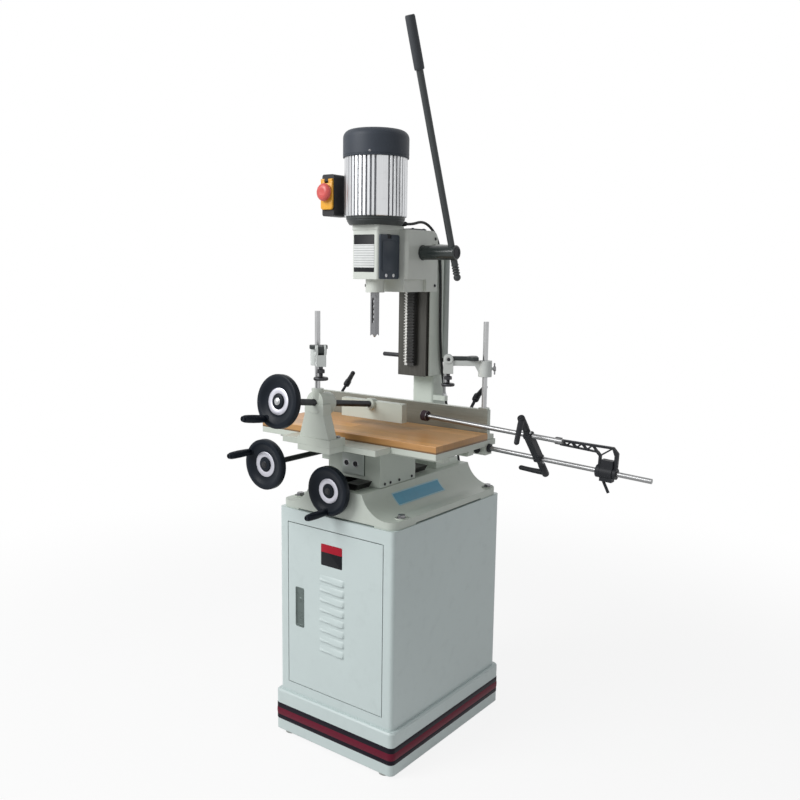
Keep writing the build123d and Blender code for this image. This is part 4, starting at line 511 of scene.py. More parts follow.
@dataclass(frozen=True)
class Moulded(Finish):
    """Moulded plastic or thick satin lacquer with a fine grain and paler scuffs."""

    grain: float = 900.0
    scuff: float = 0.25
    soften: float = 0.0009
    gloss: float = 0.5

    def dress(self, graph: Graph) -> None:
        """Plastic with a spark-eroded grain, handling marks and rubbed edges.

        Args:
            graph: the material's tree.
        """
        cloud = graph.noise(24.0, 3.0)
        soft = graph.softened(self.soften)
        rubbed = graph.step(graph.edges(soft), 0.02, 0.3) * graph.step(graph.noise(110.0, 3.0), 0.35, 0.7)
        scratch = graph.step(graph.streaks((70.0, 340.0, 90.0), 2.0), 0.62, 0.72)
        colour = self.tones(graph, cloud, 0.85, 1.18)
        scuffs = (rubbed + scratch * 0.5) * self.scuff
        colour = graph.blend(scuffs, colour, paled(self.tint, 1.7, 0.02))
        rough = self.rough + (cloud - 0.5) * 0.16 + scratch * 0.06
        normal = graph.bump(graph.noise(self.grain, 2.0), 0.14, 0.00025, soft)
        graph.surface({"Base Color": colour, "Roughness": rough, "Normal": normal,
                       "Specular IOR Level": self.gloss})


@dataclass(frozen=True)
class Timber(Finish):
    """Sealed hardwood staves glued side by side, their grain along the table."""

    stave: float = 0.046
    length: float = 0.34
    face: float = 0.8438
    seam: float = 0.83

    def dress(self, graph: Graph) -> None:
        """Staves of differing tone with growth lines, pores and a satin seal, the sides and the seam at the
        foot darkened as painted shade.

        Args:
            graph: the material's tree.
        """
        row = (graph.along(Way.DEEP) / self.stave).floored()
        run = (graph.along(Way.ACROSS) / self.length + graph.scatter(row) * 3.0).floored()
        tone = graph.scatter(run * 7.13 + row * 3.37)
        sway = graph.node("ShaderNodeCombineXYZ", inputs={0: tone * 9.0, 1: tone * 5.0, 2: 0.0})
        at = graph.node("ShaderNodeVectorMath", {"operation": "ADD"},
                        {0: graph.stretched((5.0, 95.0, 70.0)), 1: sway})
        growth = {"Vector": at, "Scale": 0.55, "Distortion": 4.5, "Detail": 3.0, "Detail Scale": 0.8}
        rings = graph.node("ShaderNodeTexWave", {"bands_direction": "Y"}, growth, 1)
        pores = graph.step(graph.streaks((60.0, 1500.0, 1500.0), 3.0), 0.56, 0.72)
        colour = self.tones(graph, rings * 0.45 + tone * 0.55, 0.55, 1.25)
        warm = (self.tint[0] * 0.8, self.tint[1] * 0.62, self.tint[2] * 0.48, 1.0)
        cloud = graph.streaks((4.0, 16.0, 16.0), 3.0)
        colour = graph.blend(graph.step(cloud, 0.4, 0.7) * 0.5, colour, warm)
        colour = graph.blend(pores * 0.5, colour, toned(self.tint, 0.5))
        height = graph.along(Way.UP)
        # painted shade: the sides below the top face are darkened
        side = 1.0 - graph.step(height, self.face - 0.0006, self.face)
        colour = graph.blend(side * 0.55, colour, toned(self.tint, 0.4))
        # painted shade: a dark line along the seam where the wood meets the iron
        seam_shade = 1.0 - graph.step(height, self.seam - 0.0008, self.seam + 0.0008)
        colour = graph.blend(seam_shade * 0.75, colour, toned(self.tint, 0.12))
        rough = self.rough + rings * 0.06 + pores * 0.12
        relief = rings * 0.5 - pores * 0.7
        normal = graph.bump(relief, 0.22, 0.00025, graph.softened(0.0008))
        graph.surface({"Base Color": colour, "Roughness": rough, "Normal": normal, "Coat Weight": 0.3,
                       "Coat Roughness": 0.2})


@dataclass(frozen=True)
class Banded(Finish):
    """A printed plate or a tape, bare of words; its colour changes at millimetres along one axis."""

    way: Way = Way.UP
    bands: tuple[tuple[float, Tint], ...] = ()
    gloss: float = 0.3

    def dress(self, graph: Graph) -> None:
        """Print with crisp bands, slight fading and small scratches.

        Args:
            graph: the material's tree.
        """
        fade = graph.noise(60.0, 3.0)
        scratch = graph.step(graph.streaks((160.0, 500.0, 700.0), 2.0), 0.66, 0.74)
        at = graph.along(self.way)
        edge = 0.08 * MM
        colour = self.tones(graph, fade, 0.9, 1.08)
        for start, tint in self.bands:
            over = graph.step(at, start * MM - edge, start * MM + edge)
            colour = graph.blend(over, colour, graph.blend(fade, toned(tint, 0.9), toned(tint, 1.08)))
        colour = graph.blend(scratch * 0.2, colour, paled(self.tint, 1.2, 0.05))
        rough = self.rough + (fade - 0.5) * 0.1 + scratch * 0.1
        normal = graph.bump(graph.noise(700.0, 1.0), 0.08, 0.0002, graph.softened(0.0004))
        graph.surface({"Base Color": colour, "Roughness": rough, "Normal": normal,
                       "Specular IOR Level": self.gloss})


CABINET_PAINT = Enamel("enamel_cabinet", shade(202, 215, 214), 0.36)
# BASE_PAINT and SADDLE_PAINT are darker copies, and COLUMN_PAINT a lighter copy, of the castings' one enamel:
# painted shade and painted light, set to how light falls on them
CASTING_PAINT = Enamel("enamel_casting", shade(203, 210, 200), 0.42, wear=0.6)
# the base's bare ways are near black: oil, and painted shade under the saddle
BASE_PAINT = Enamel("enamel_base", shade(197, 205, 196), 0.42, wear=0.6, bare_way=Way.UP, bare_from=0.7045,
                    iron=(0.025, 0.025, 0.024))
SADDLE_PAINT = Enamel("enamel_saddle", shade(192, 200, 191), 0.42, wear=0.6, bare_way=Way.UP,
                      bare_from=0.7935)
FENCE_PAINT = replace(CASTING_PAINT, name="enamel_fence", bare_way=Way.DEEP, bare_from=0.018,
                      bare_above=False, iron=(0.238, 0.245, 0.215), ground_marks=(14.0, 500.0, 500.0),
                      ground_tones=(0.8, 1.2))
PLATE_PAINT = Enamel("enamel_plate", shade(190, 198, 193), 0.38, wear=0.8)
COLUMN_PAINT = Enamel("enamel_column", shade(220, 228, 219), 0.42, wear=0.6, bare_way=Way.DEEP,
                      bare_from=0.0945, bare_above=False, iron=(0.072, 0.071, 0.064))
HEAD_PAINT = Enamel("enamel_head", shade(212, 217, 210), 0.4)
ARM_PAINT = Enamel("enamel_arm", shade(208, 213, 210), 0.45, wear=0.8)
FOOT_MOULD = Moulded("plastic_foot", shade(168, 171, 167), 0.5)
BRIGHT_STEEL = Metal("steel_bright", (0.56, 0.57, 0.58), 0.28)
TURNED_STEEL = Metal("steel_turned", (0.5, 0.51, 0.52), 0.3, marks=(60.0, 60.0, 2200.0))
BOLT_STEEL = Metal("steel_bolts", (0.25, 0.25, 0.26), 0.34, stain=0.4)
OILED_STEEL = Metal("steel_oiled", (0.055, 0.056, 0.06), 0.36, stain=0.5)
BLUED_STEEL = Metal("steel_blued", (0.22, 0.223, 0.232), 0.26, marks=(90.0, 90.0, 900.0), stain=0.55)
RACK_STEEL = Toothed("steel_rack", (0.62, 0.62, 0.6), 0.34, marks=(1600.0, 90.0, 90.0))
PLATED_ROD = Metal("steel_plated", (0.33, 0.335, 0.34), 0.3, marks=(30.0, 30.0, 30.0), depth=0.00002,
                   stain=0.12)
# HOLD_ROD and STOP_ROD are the one plated steel made lighter and darker: painted reflection of the bright and
# dark things round them
HOLD_ROD = replace(PLATED_ROD, name="steel_hold_rods", tint=(0.46, 0.465, 0.47))
STOP_ROD = replace(PLATED_ROD, name="steel_stop_rods", tint=(0.27, 0.272, 0.275))
FIN_ALLOY = Finned("alloy_fins", (0.7, 0.71, 0.725), 0.35, marks=(900.0, 900.0, 7.0), stain=0.2)
SATIN_RING = Metal("alloy_ring", (0.58, 0.58, 0.64), 0.38, marks=(500.0, 500.0, 500.0), stain=0.1)
WHEEL_BLACK = Moulded("lacquer_wheel", shade(25, 31, 39), 0.36, scuff=0.1, gloss=0.12)
STOP_BLACK = Moulded("plastic_stops", shade(36, 38, 42), 0.48, scuff=0.25, gloss=0.22)
SWITCH_BLACK = Moulded("plastic_switch", shade(48, 48, 50), 0.45, scuff=0.2, gloss=0.25)
COVER_BLACK = Moulded("plastic_cover", shade(64, 72, 82), 0.42, scuff=0.15, gloss=0.25)
HOOD_BLACK = Moulded("plastic_hood", shade(54, 60, 69), 0.5, grain=650.0, scuff=0.12, gloss=0.3)
LEVER_BLACK = Moulded("lacquer_lever", shade(54, 59, 59), 0.4, scuff=0.25, gloss=0.3)
BAR_BLACK = Moulded("lacquer_bar", shade(67, 71, 72), 0.38, scuff=0.25, gloss=0.3)
HUB_BLACK = Moulded("lacquer_hub", shade(46, 53, 52), 0.22, scuff=0.15)
TUBE_GREY = Moulded("lacquer_tube", shade(160, 168, 165), 0.36, scuff=0.15)
GRIP_BLACK = Moulded("rubber_grip", shade(62, 65, 69), 0.62, grain=500.0, scuff=0.15, gloss=0.3)
LID_YELLOW = Moulded("plastic_lid", shade(230, 168, 52), 0.38, scuff=0.15)
BUTTON_RED = Moulded("plastic_button", shade(210, 87, 83), 0.32, scuff=0.15)
# a dark rubber finish: the painted shadow round the saddle's plate, and the base of the stop's rubber
RUBBER_AND_SHADOW = Moulded("painted_shadow", shade(38, 35, 35), 0.7, grain=420.0, gloss=0.2)
STOP_RUBBER = replace(RUBBER_AND_SHADOW, name="rubber_stop", tint=shade(58, 46, 52))
CORD_SHEATH = Moulded("rubber_cord", shade(44, 46, 48), 0.55, grain=1200.0, scuff=0.2, gloss=0.3)
LATCH_METAL = Metal("zinc_latch", (0.155, 0.188, 0.18), 0.42, marks=(420.0, 420.0, 420.0), depth=0.0004,
                    stain=0.4)
TABLE_WOOD = Timber("timber_table", shade(217, 161, 94), 0.42)
TAPE_MAROON = Banded("tape_maroon", shade(106, 28, 48), 0.45, gloss=0.12)
TAPE_BLACK = Banded("tape_black", shade(28, 23, 33), 0.45, gloss=0.1)
DOOR_PRINT = Banded("print_door", shade(27, 28, 32), 0.4, bands=((536.0, shade(168, 30, 48)),), gloss=0.12)
PRINT_DARK = shade(32, 34, 37)
PRINT_PALE = shade(226, 229, 228)
PRINT_RULE = shade(150, 153, 154)
NOSE_RULES = tuple((1256.0 + 6.0 * row + drop, tint) for row in range(9)
                   for drop, tint in ((0.0, PRINT_RULE), (1.1, PRINT_PALE)))
NOSE_PRINT = Banded("print_nose", PRINT_DARK, 0.4, gloss=0.15,
                    bands=((1251.0, PRINT_PALE), *NOSE_RULES, (1308.0, PRINT_DARK)))
NAME_PRINT = Banded("print_name", shade(92, 164, 196), 0.3)
NAME_BACK = Moulded("print_border", shade(160, 198, 210), 0.35, scuff=0.1)


def rounded(width: float, depth: float, corner: float, steps: int = 6) -> list[Flat]:
    """The outline of a rectangle with rounded corners, middle at the origin.

    Args:
        width: its size along x.
        depth: its size along y.
        corner: the corners' radius.
        steps: points to a corner, less one.

    Returns:
        The outline's points, anticlockwise.
    """
    points = []
    for quarter, (x, y) in enumerate(((1, 1), (-1, 1), (-1, -1), (1, -1))):
        for step in range(steps + 1):
            out, up = polar(corner, 90 * (quarter + step / steps))
            points.append((x * (width / 2 - corner) + out, y * (depth / 2 - corner) + up))
    return points


def circle(radius: float, steps: int) -> list[Flat]:
    """Points on a circle."""
    return [polar(radius, 360 * i / steps) for i in range(steps)]


class Form:
    """A mesh in the making, in millimetres."""

    def __init__(self) -> None:
        """Start empty."""
        self.mesh = bmesh.new()

    def rings(self, rows: Sequence[Sequence[Point]], at: Matrix, loop: bool = False,
              capped: bool = False) -> Form:
        """Skin over closed rows of points; a row of one point is a tip.

        Args:
            rows: the rows, each of the same count or of one point.
            at: where they stand.
            loop: the last row joins the first.
            capped: the first and last rows are closed by a face.

        Returns:
            This form.
        """
        made = [[self.mesh.verts.new(at @ Vector(point)) for point in row] for row in rows]
        pairs = list(zip(made, made[1:])) + ([(made[-1], made[0])] if loop else [])
        for first, second in pairs:
            count = max(len(first), len(second))
            for i in range(count):
                j = (i + 1) % count
                corners = [first[i % len(first)], first[j % len(first)], second[j % len(second)],
                           second[i % len(second)]]
                unique = list(dict.fromkeys(corners))
                if len(unique) > 2:
                    self.mesh.faces.new(unique)
        if capped:
            self.mesh.faces.new(list(reversed(made[0])))
            self.mesh.faces.new(made[-1])
        return self

    def turned(self, profile: Sequence[Flat], at: Matrix = Matrix(), steps: int = 48,
               loop: bool = False) -> Form:
        """A shape turned about the local z from (radius, height) points; a ring's profile is a loop."""
        rows = [level(circle(radius, steps), height) if radius > NEAR else [(0.0, 0.0, height)]
                for radius, height in profile]
        return self.rings(rows, at, loop)

    def prism(self, outline: Sequence[Flat], low: float, high: float, at: Matrix = Matrix(),
              bevel: float = 0.0) -> Form:
        """An outline raised between two heights, with its rims rounded.

        Args:
            outline: (x, y) points.
            low: lower height.
            high: upper height.
            at: where it stands.
            bevel: the rims' rounding.

        Returns:
            This form.
        """
        middle = Vector((sum(p[0] for p in outline), sum(p[1] for p in outline))) / len(outline)
        spokes = [Vector(point) - middle for point in outline]

        def row(height: float, inset: float) -> list[Point]:
            """The outline at a height, drawn in."""
            return level([middle + away * (1 - inset / max(away.length, NEAR)) for away in spokes], height)

        rows = [row(low, 0.0), row(high, 0.0)]
        if bevel:
            eased = bevel * 0.3
            rows = [row(low, bevel), row(low + bevel, 0.0), row(high - bevel, 0.0), row(high - eased, eased),
                    row(high, bevel)]
        return self.rings(rows, at, capped=True)

    def limb(self, path: Sequence[Point], radii: Sequence[float], at: Matrix = Matrix(), flat: float = 1.0,
             steps: int = 16) -> Form:
        """A round or oval bar along a path, closed at both ends.

        Args:
            path: the points it follows.
            radii: its radius at each.
            at: where it stands.
            flat: its thickness, as a share of its width.
            steps: facets round it.

        Returns:
            This form.
        """
        points = [Vector(point) for point in path]
        rows: list[list[Point]] = []
        across = Vector((0.0, 0.0, 1.0))
        for i, point in enumerate(points):
            run = (points[min(i + 1, len(points) - 1)] - points[max(i - 1, 0)]).normalized()
            across = (across - run * across.dot(run)).normalized()
            wide = run.cross(across)
            rows.append([tuple(point + wide * x * radii[i] + across * y * radii[i] * flat)
                         for x, y in circle(1.0, steps)])
        return self.rings([[tuple(points[0])], *rows, [tuple(points[-1])]], at)

    def thread(self, radius: float, depth: float, pitch: float, low: float, high: float, at: Matrix,
               steps: int = 20) -> Form:
        """A screw thread about the local z.

        Args:
            radius: over the crests.
            depth: from crest to root.
            pitch: height of a turn.
            low: where it starts.
            high: where it ends.
            at: where it stands.
            steps: facets round it.

        Returns:
            This form.
        """
        groove = (0.0, 0.55, 1.0, 0.55)
        count = int((high - low) / pitch * len(groove))
        rows = []
        for row in range(count + 1):
            height = low + row * pitch / len(groove)
            points = []
            for i in range(steps):
                phase = (row / len(groove) - i / steps) % 1.0 * len(groove)
                here = groove[int(phase) % len(groove)]
                after = groove[(int(phase) + 1) % len(groove)]
                drop = depth * (here + (after - here) * (phase - int(phase)))
                points.append((*polar(radius - drop, 360 * i / steps), height))
            rows.append(points)
        return self.rings([[(0.0, 0.0, low)], *rows, [(0.0, 0.0, high)]], at)

    def rod(self, radius: float, low: float, high: float, at: Matrix) -> Form:
        """A plain round length about the local z."""
        return self.turned([(0, low), (radius, low), (radius, high), (0, high)], at, 36)

    def rib(self, inner: float, outer: float, half: float, at: Matrix) -> Form:
        """A low ring with its edges taken off, about the local z."""
        ease = half - 0.3
        return self.turned([(inner, -half), (outer, -ease), (outer, ease), (inner, half)], at, 28, True)

    def hex_head(self, across: float, height: float, at: Matrix) -> Form:
        """A bolt's six-sided head, by its width over the flats, with its crown turned off."""
        rim = [(0, height), (across * 0.46, height), (across * 0.5, height * 0.9), (0, height * 0.9)]
        return self.prism(circle(across / math.sqrt(3), 6), 0.0, height * 0.9, at).turned(rim, at, 24)

    def gib_screw(self, nut: float, end: float, at: Matrix) -> Form:
        """A set screw that stands out to its end, in a lock nut."""
        screw = [(0, nut - 0.2), (2.0, nut - 0.2), (2.0, end - 0.4), (1.5, end), (0, end)]
        return self.hex_head(7.0, nut, at).turned(screw, at, 18)

    def socket_screw(self, radius: float, height: float, at: Matrix) -> Form:
        """A cap screw's head with its socket, its seat at the origin of the frame."""
        shares = ((0.0, 0.0), (0.94, 0.0), (1.0, 0.08), (1.0, 0.85), (0.9, 1.0), (0.58, 1.0), (0.5, 0.35),
                  (0.0, 0.3))
        return self.turned([(radius * r, height * h) for r, h in shares], at, 24)

    def object(self, name: str, crease: float = CREASE) -> bpy.types.Object:
        """Turn the form into an object in metres.

        Args:
            name: the object's name.
            crease: edges sharper than this many degrees stay sharp.

        Returns:
            The object, in the scene.
        """
        bmesh.ops.remove_doubles(self.mesh, verts=self.mesh.verts, dist=1e-5)
        bmesh.ops.recalc_face_normals(self.mesh, faces=self.mesh.faces)
        bmesh.ops.scale(self.mesh, vec=(MM, MM, MM), verts=self.mesh.verts)
        data = bpy.data.meshes.new(name)
        self.mesh.to_mesh(data)
        self.mesh.free()
        data.polygons.foreach_set("use_smooth", [True] * len(data.polygons))
        data.set_sharp_from_angle(angle=math.radians(crease))
        return linked(name, data)


def label(across: Flat, up: Flat, front: float, corner: float) -> Form:
    """A thin plate on a front face.

    Args:
        across: its ends along x.
        up: its ends along z.
        front: the face that it lies on.
        corner: its corners' radius.

    Returns:
        Its form.
    """
    (x0, x1), (z0, z1) = across, up
    at = to_front((x0 + x1) / 2, front, (z0 + z1) / 2)
    return Form().prism(rounded(x1 - x0, z1 - z0, corner, 4), -0.2, 0.7, at, 0.2)


@dataclass
class Assembly:
    """A part of the machine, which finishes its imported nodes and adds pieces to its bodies."""

    nodes: Nodes

    def paint(self, finish: Finish, *names: str) -> None:
        """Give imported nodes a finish.

        Args:
            finish: the finish.
            names: the nodes.
        """
        for name in names:
            data = self.nodes[name].data
            if not data.materials:
                data.materials.append(None)
            for slot in self.nodes[name].material_slots:
                slot.material = finish.material()
            LOG.info("node %s: %s", name, finish.name)

    def add(self, name: str, form: Form, finish: Finish, body: str, slot: Slot,
            stands_for: Sequence[str] = (), crease: float = CREASE) -> bpy.types.Object:
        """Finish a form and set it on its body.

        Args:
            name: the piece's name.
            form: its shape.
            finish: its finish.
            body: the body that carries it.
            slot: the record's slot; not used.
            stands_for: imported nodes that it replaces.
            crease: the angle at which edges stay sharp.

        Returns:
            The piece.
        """
        piece = form.object(name, crease)
        piece.data.materials.append(finish.material())
        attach(piece, body)
        if stands_for:
            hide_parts(*stands_for)
        LOG.info("piece %s on %s: %d faces", name, body, len(piece.data.polygons))
        return piece

    def build(self) -> None:
        """Dress the part; each has its own way."""
        raise NotImplementedError


@dataclass
class Studio:
    """Camera, floor and soft light, in metres."""

    camera_at: Point = (1.3859, -1.8212, 1.2453)
    azimuth: float = 36.89
    elevation: float = 8.53
    roll: float = 0.77
    focal_pixels: float = 865.0
    image: float = 800.0
    sensor: float = 36.0
    key_at: Point = (-1.2, -2.75, 2.8)
    key_aim: Point = (0.0, 0.0, 1.0)
    key_size: float = 2.2
    key_watts: float = 89.0
    sky: float = 0.345
    sky_blue: float = 1.01
    floor_half: float = 14.0
    floor_grey: float = 0.86
    floor_lit: float = 0.13
    floor_fade: Flat = (1.0, 2.6)

    def camera(self) -> None:
        """Stand the camera where the photograph was taken."""
        turn, rise, tilt = (math.radians(v) for v in (self.azimuth, self.elevation, self.roll))
        back = Vector((math.sin(turn) * math.cos(rise), -math.cos(turn) * math.cos(rise), math.sin(rise)))
        right = Vector((math.cos(turn), math.sin(turn), 0.0))
        upward = back.cross(right)
        across = right * math.cos(tilt) + upward * math.sin(tilt)
        upright = upward * math.cos(tilt) - right * math.sin(tilt)
        data = bpy.data.cameras.new("camera")
        data.sensor_width = self.sensor
        data.lens = self.focal_pixels / self.image * self.sensor
        eye = linked("camera", data)
        frame = Matrix((across, upright, back)).transposed().to_4x4()
        frame.translation = Vector(self.camera_at)
        eye.matrix_world = frame
        bpy.context.scene.camera = eye

    def seen_plainly(self, graph: Graph) -> Wire:
        """1 for rays from the camera, a mirror or glass, and 0 for light that falls on things."""
        rays = [graph.node("ShaderNodeLightPath", output=name)
                for name in ("Is Camera Ray", "Is Glossy Ray", "Is Transmission Ray")]
        return graph.step(rays[0] + rays[1] + rays[2], 0.0, 1.0)

    def light(self) -> None:
        """A pale sky that is white where it is seen, and one broad lamp from the front left."""
        world = bpy.data.worlds.new("studio")
        bpy.context.scene.world = world
        world.use_nodes = True
        graph = Graph(world.node_tree)
        grey = (self.sky, self.sky, self.sky * self.sky_blue, 1.0)
        colour = graph.blend(self.seen_plainly(graph), grey, WHITE)
        glow = graph.node("ShaderNodeBackground", inputs={"Color": colour, "Strength": 1.0})
        graph.node("ShaderNodeOutputWorld", inputs={"Surface": glow})
        data = bpy.data.lights.new("key", "AREA")
        data.shape = "DISK"
        data.size = self.key_size
        data.energy = self.key_watts
        lamp = linked("key", data)
        lamp.location = self.key_at
        aim = Vector(self.key_aim) - Vector(self.key_at)
        lamp.rotation_euler = aim.to_track_quat("-Z", "Y").to_euler()

    def floor(self) -> None:
        """A plain pale floor that keeps the shadow and fades into the white."""
        half = self.floor_half
        corners = [(-half, -half, 0), (half, -half, 0), (half, half, 0), (-half, half, 0)]
        data = bpy.data.meshes.new("floor")
        data.from_pydata(corners, [], [(0, 1, 2, 3)])
        floor = linked("floor", data)
        material = bpy.data.materials.new("floor")
        material.use_nodes = True
        graph = Graph(material.node_tree)
        matt = graph.node("ShaderNodeBsdfDiffuse", inputs={"Color": toned(WHITE[:3], self.floor_grey)})
        white = graph.node("ShaderNodeEmission", inputs={"Color": WHITE, "Strength": 1.0})
        reach = graph.node("ShaderNodeVectorMath", {"operation": "LENGTH"}, {0: graph.place()}, "Value")
        near = 1.0 - graph.step(reach, *self.floor_fade)
        share = self.seen_plainly(graph) * (1.0 - near * self.floor_lit)
        mixed = graph.node("ShaderNodeMixShader", inputs={0: share, 1: matt, 2: white})
        graph.node("ShaderNodeOutputMaterial", inputs={"Surface": mixed})
        data.materials.append(material)

    def build(self) -> None:
        """Set up camera, floor, light and view."""
        self.camera()
        self.floor()
        self.light()
        bpy.context.scene.view_settings.view_transform = "Standard"


@dataclass(frozen=True)
class Relief:
    """The ribs of a strain relief, each a little larger than the last."""

    count: int
    first: float
    growth: float
    inner: float
    outer: float
    half: float
    start: float
    step: float

    def form(self, at: Matrix) -> Form:
        """The ribs.

        Args:
            at: the frame of the row, which runs along its z.

        Returns:
            Their form.
        """
        form = Form()
        for i in range(self.count):
            radius = self.first + self.growth * i
            place = at @ moved(0, 0, self.start + self.step * i)
            form.rib(radius - self.inner, radius + self.outer, self.half, place)
        return form


@dataclass
class MainsCord(Assembly):
    """The lead from the motor's gland down the back to its plug, its length and bends in metres."""

    diameter: float = 7.2
    length: float = 1.647
    gland: Point = (34.0, -4.43, 1363.0)
    gland_ribs: Relief = Relief(5, 5.6, growth=0.28, inner=1.0, outer=0.25, half=0.9, start=2.5, step=3.2)
    plug_ribs: Relief = Relief(6, 5.0, growth=0.72, inner=1.2, outer=0.1, half=1.0, start=4.0, step=3.0)
    sides: int = 14
    bend_from: Point = (0.05, 0.13, 1.25)
    bend_to: Point = (0.05, 0.15, 0.95)
    route: tuple[Point, ...] = (
        (34.0, -4.43, 1363.0), (34.0, 21.57, 1363.0), (36.0, 66.0, 1374.0), (41.0, 103.0, 1357.0),
        (49.5, 124.0, 1320.0), (50.4, 131.0, 1266.0), (50.4, 134.6, 1208.0), (50.4, 136.0, 1150.0),
        (50.4, 137.0, 1092.0), (50.4, 141.0, 1036.0), (50.2, 149.0, 982.0), (50.0, 160.0, 930.0),
        (50.0, 174.0, 880.0), (50.0, 192.0, 832.0), (49.6, 214.0, 786.0), (48.6, 237.0, 740.0),
        (47.4, 254.0, 692.0), (47.4, 264.0, 640.0), (49.0, 268.0, 582.0), (51.0, 270.0, 524.0),
        (52.6, 271.0, 466.0), (53.2, 271.4, 408.0), (52.8, 271.5, 350.0), (51.2, 271.8, 292.0),
        (48.4, 272.4, 234.0), (44.6, 274.0, 178.0), (39.6, 277.0, 124.0), (32.0, 282.0, 76.0),
        (19.0, 289.0, 38.0), (-4.0, 296.0, 14.0), (-38.0, 302.0, 5.0), (-78.0, 305.0, 4.0),
        (-118.0, 306.0, 9.4), (-156.0, 306.0, 9.4))

    def line(self) -> list[Vector]:
        """The smooth line of the route.

        Returns:
            Its points, in metres.
        """
        curve = bpy.data.curves.new("cord_line", "CURVE")
        curve.dimensions = "3D"
        spline = curve.splines.new("NURBS")
        spline.points.add(len(self.route) - 1)
        for control, (x, y, z) in zip(spline.points, self.route):
            control.co = (x * MM, y * MM, z * MM, 1.0)
        spline.order_u = 3
        spline.use_endpoint_u = True
        spline.resolution_u = 6
        holder = linked("cord_line", curve)
        bpy.context.view_layer.update()
        seen = holder.evaluated_get(bpy.context.evaluated_depsgraph_get())
        found = bpy.data.meshes.new_from_object(seen)
        points = [vertex.co.copy() for vertex in found.vertices]
        bpy.data.objects.remove(holder)
        bpy.data.meshes.remove(found)
        return points

    def build(self) -> None:
        """Lead, gland ribs and plug."""
        points = self.line()
        path = [tuple(point / MM) for point in points]
        piece = Form().limb(path, [self.diameter / 2] * len(path), steps=self.sides).object("mains_lead")
        piece.data.materials.append(CORD_SHEATH.material())
        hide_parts("mains_cord")
        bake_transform(piece)
        back = moved(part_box("plug")[1].x / MM, *self.route[-1][1:]) @ spun("Y", -90)
        relief = self.add("plug_ribs", self.plug_ribs.form(back), CORD_SHEATH, "stand", Slot.BLACK_PLASTIC)
        self.paint(CORD_SHEATH, "plug", "cord_gland", "mains_cord")
        ribs = self.gland_ribs.form(to_front(*self.gland))
        self.add("gland_ribs", ribs, CORD_SHEATH, "head", Slot.BLACK_PLASTIC)
        LOG.info("lead of %d points", len(points))


@dataclass
class Cabinet(Assembly):
    """The sheet cabinet, its striped plinth and levelling feet."""

    width: float = 398.0
    depth: float = 508.0
    corner: float = 14.0
    maroon: Flat = (50.5, 69.6)
    black_low: Flat = (38.6, 50.5)
    black_high: Flat = (69.6, 84.0)
    swell: float = 1.7
    tape: float = 0.7
    sunk: float = -0.4

    def band(self, profile: Sequence[Flat]) -> Form:
        """A band round the plinth.

        Args:
            profile: (proud, height) points of its section.

        Returns:
            Its form.
        """
        rows = []
        for proud, height in profile:
            outline = rounded(self.width + 2 * proud, self.depth + 2 * proud, self.corner + proud, 8)
            rows.append(level(outline, height))
        return Form().rings(rows, Matrix(), loop=True)

    def build(self) -> None:
        """Paint the sheet and lay the three bands."""
        self.paint(CABINET_PAINT, "cabinet")
        self.paint(FOOT_MOULD, "levelling_feet")
        low, high = self.maroon
        sixth = (high - low) / 6
        most = self.swell * 0.8
        profile = [(self.sunk, low), (0.5, low), (most, low + sixth), (self.swell, low + 3 * sixth),
                   (most, high - sixth), (0.5, high), (self.sunk, high)]
        self.add("plinth_band_maroon", self.band(profile), TAPE_MAROON, "stand", Slot.PAINT, crease=50.0)
        for name, (low, high) in (("plinth_band_low", self.black_low), ("plinth_band_high", self.black_high)):
            profile = [(self.sunk, low), (self.tape * 0.6, low + 0.2), (self.tape, low + 0.8),
                       (self.tape, high - 0.8), (self.tape * 0.6, high - 0.2), (self.sunk, high)]
            self.add(name, self.band(profile), TAPE_BLACK, "stand", Slot.PAINT)


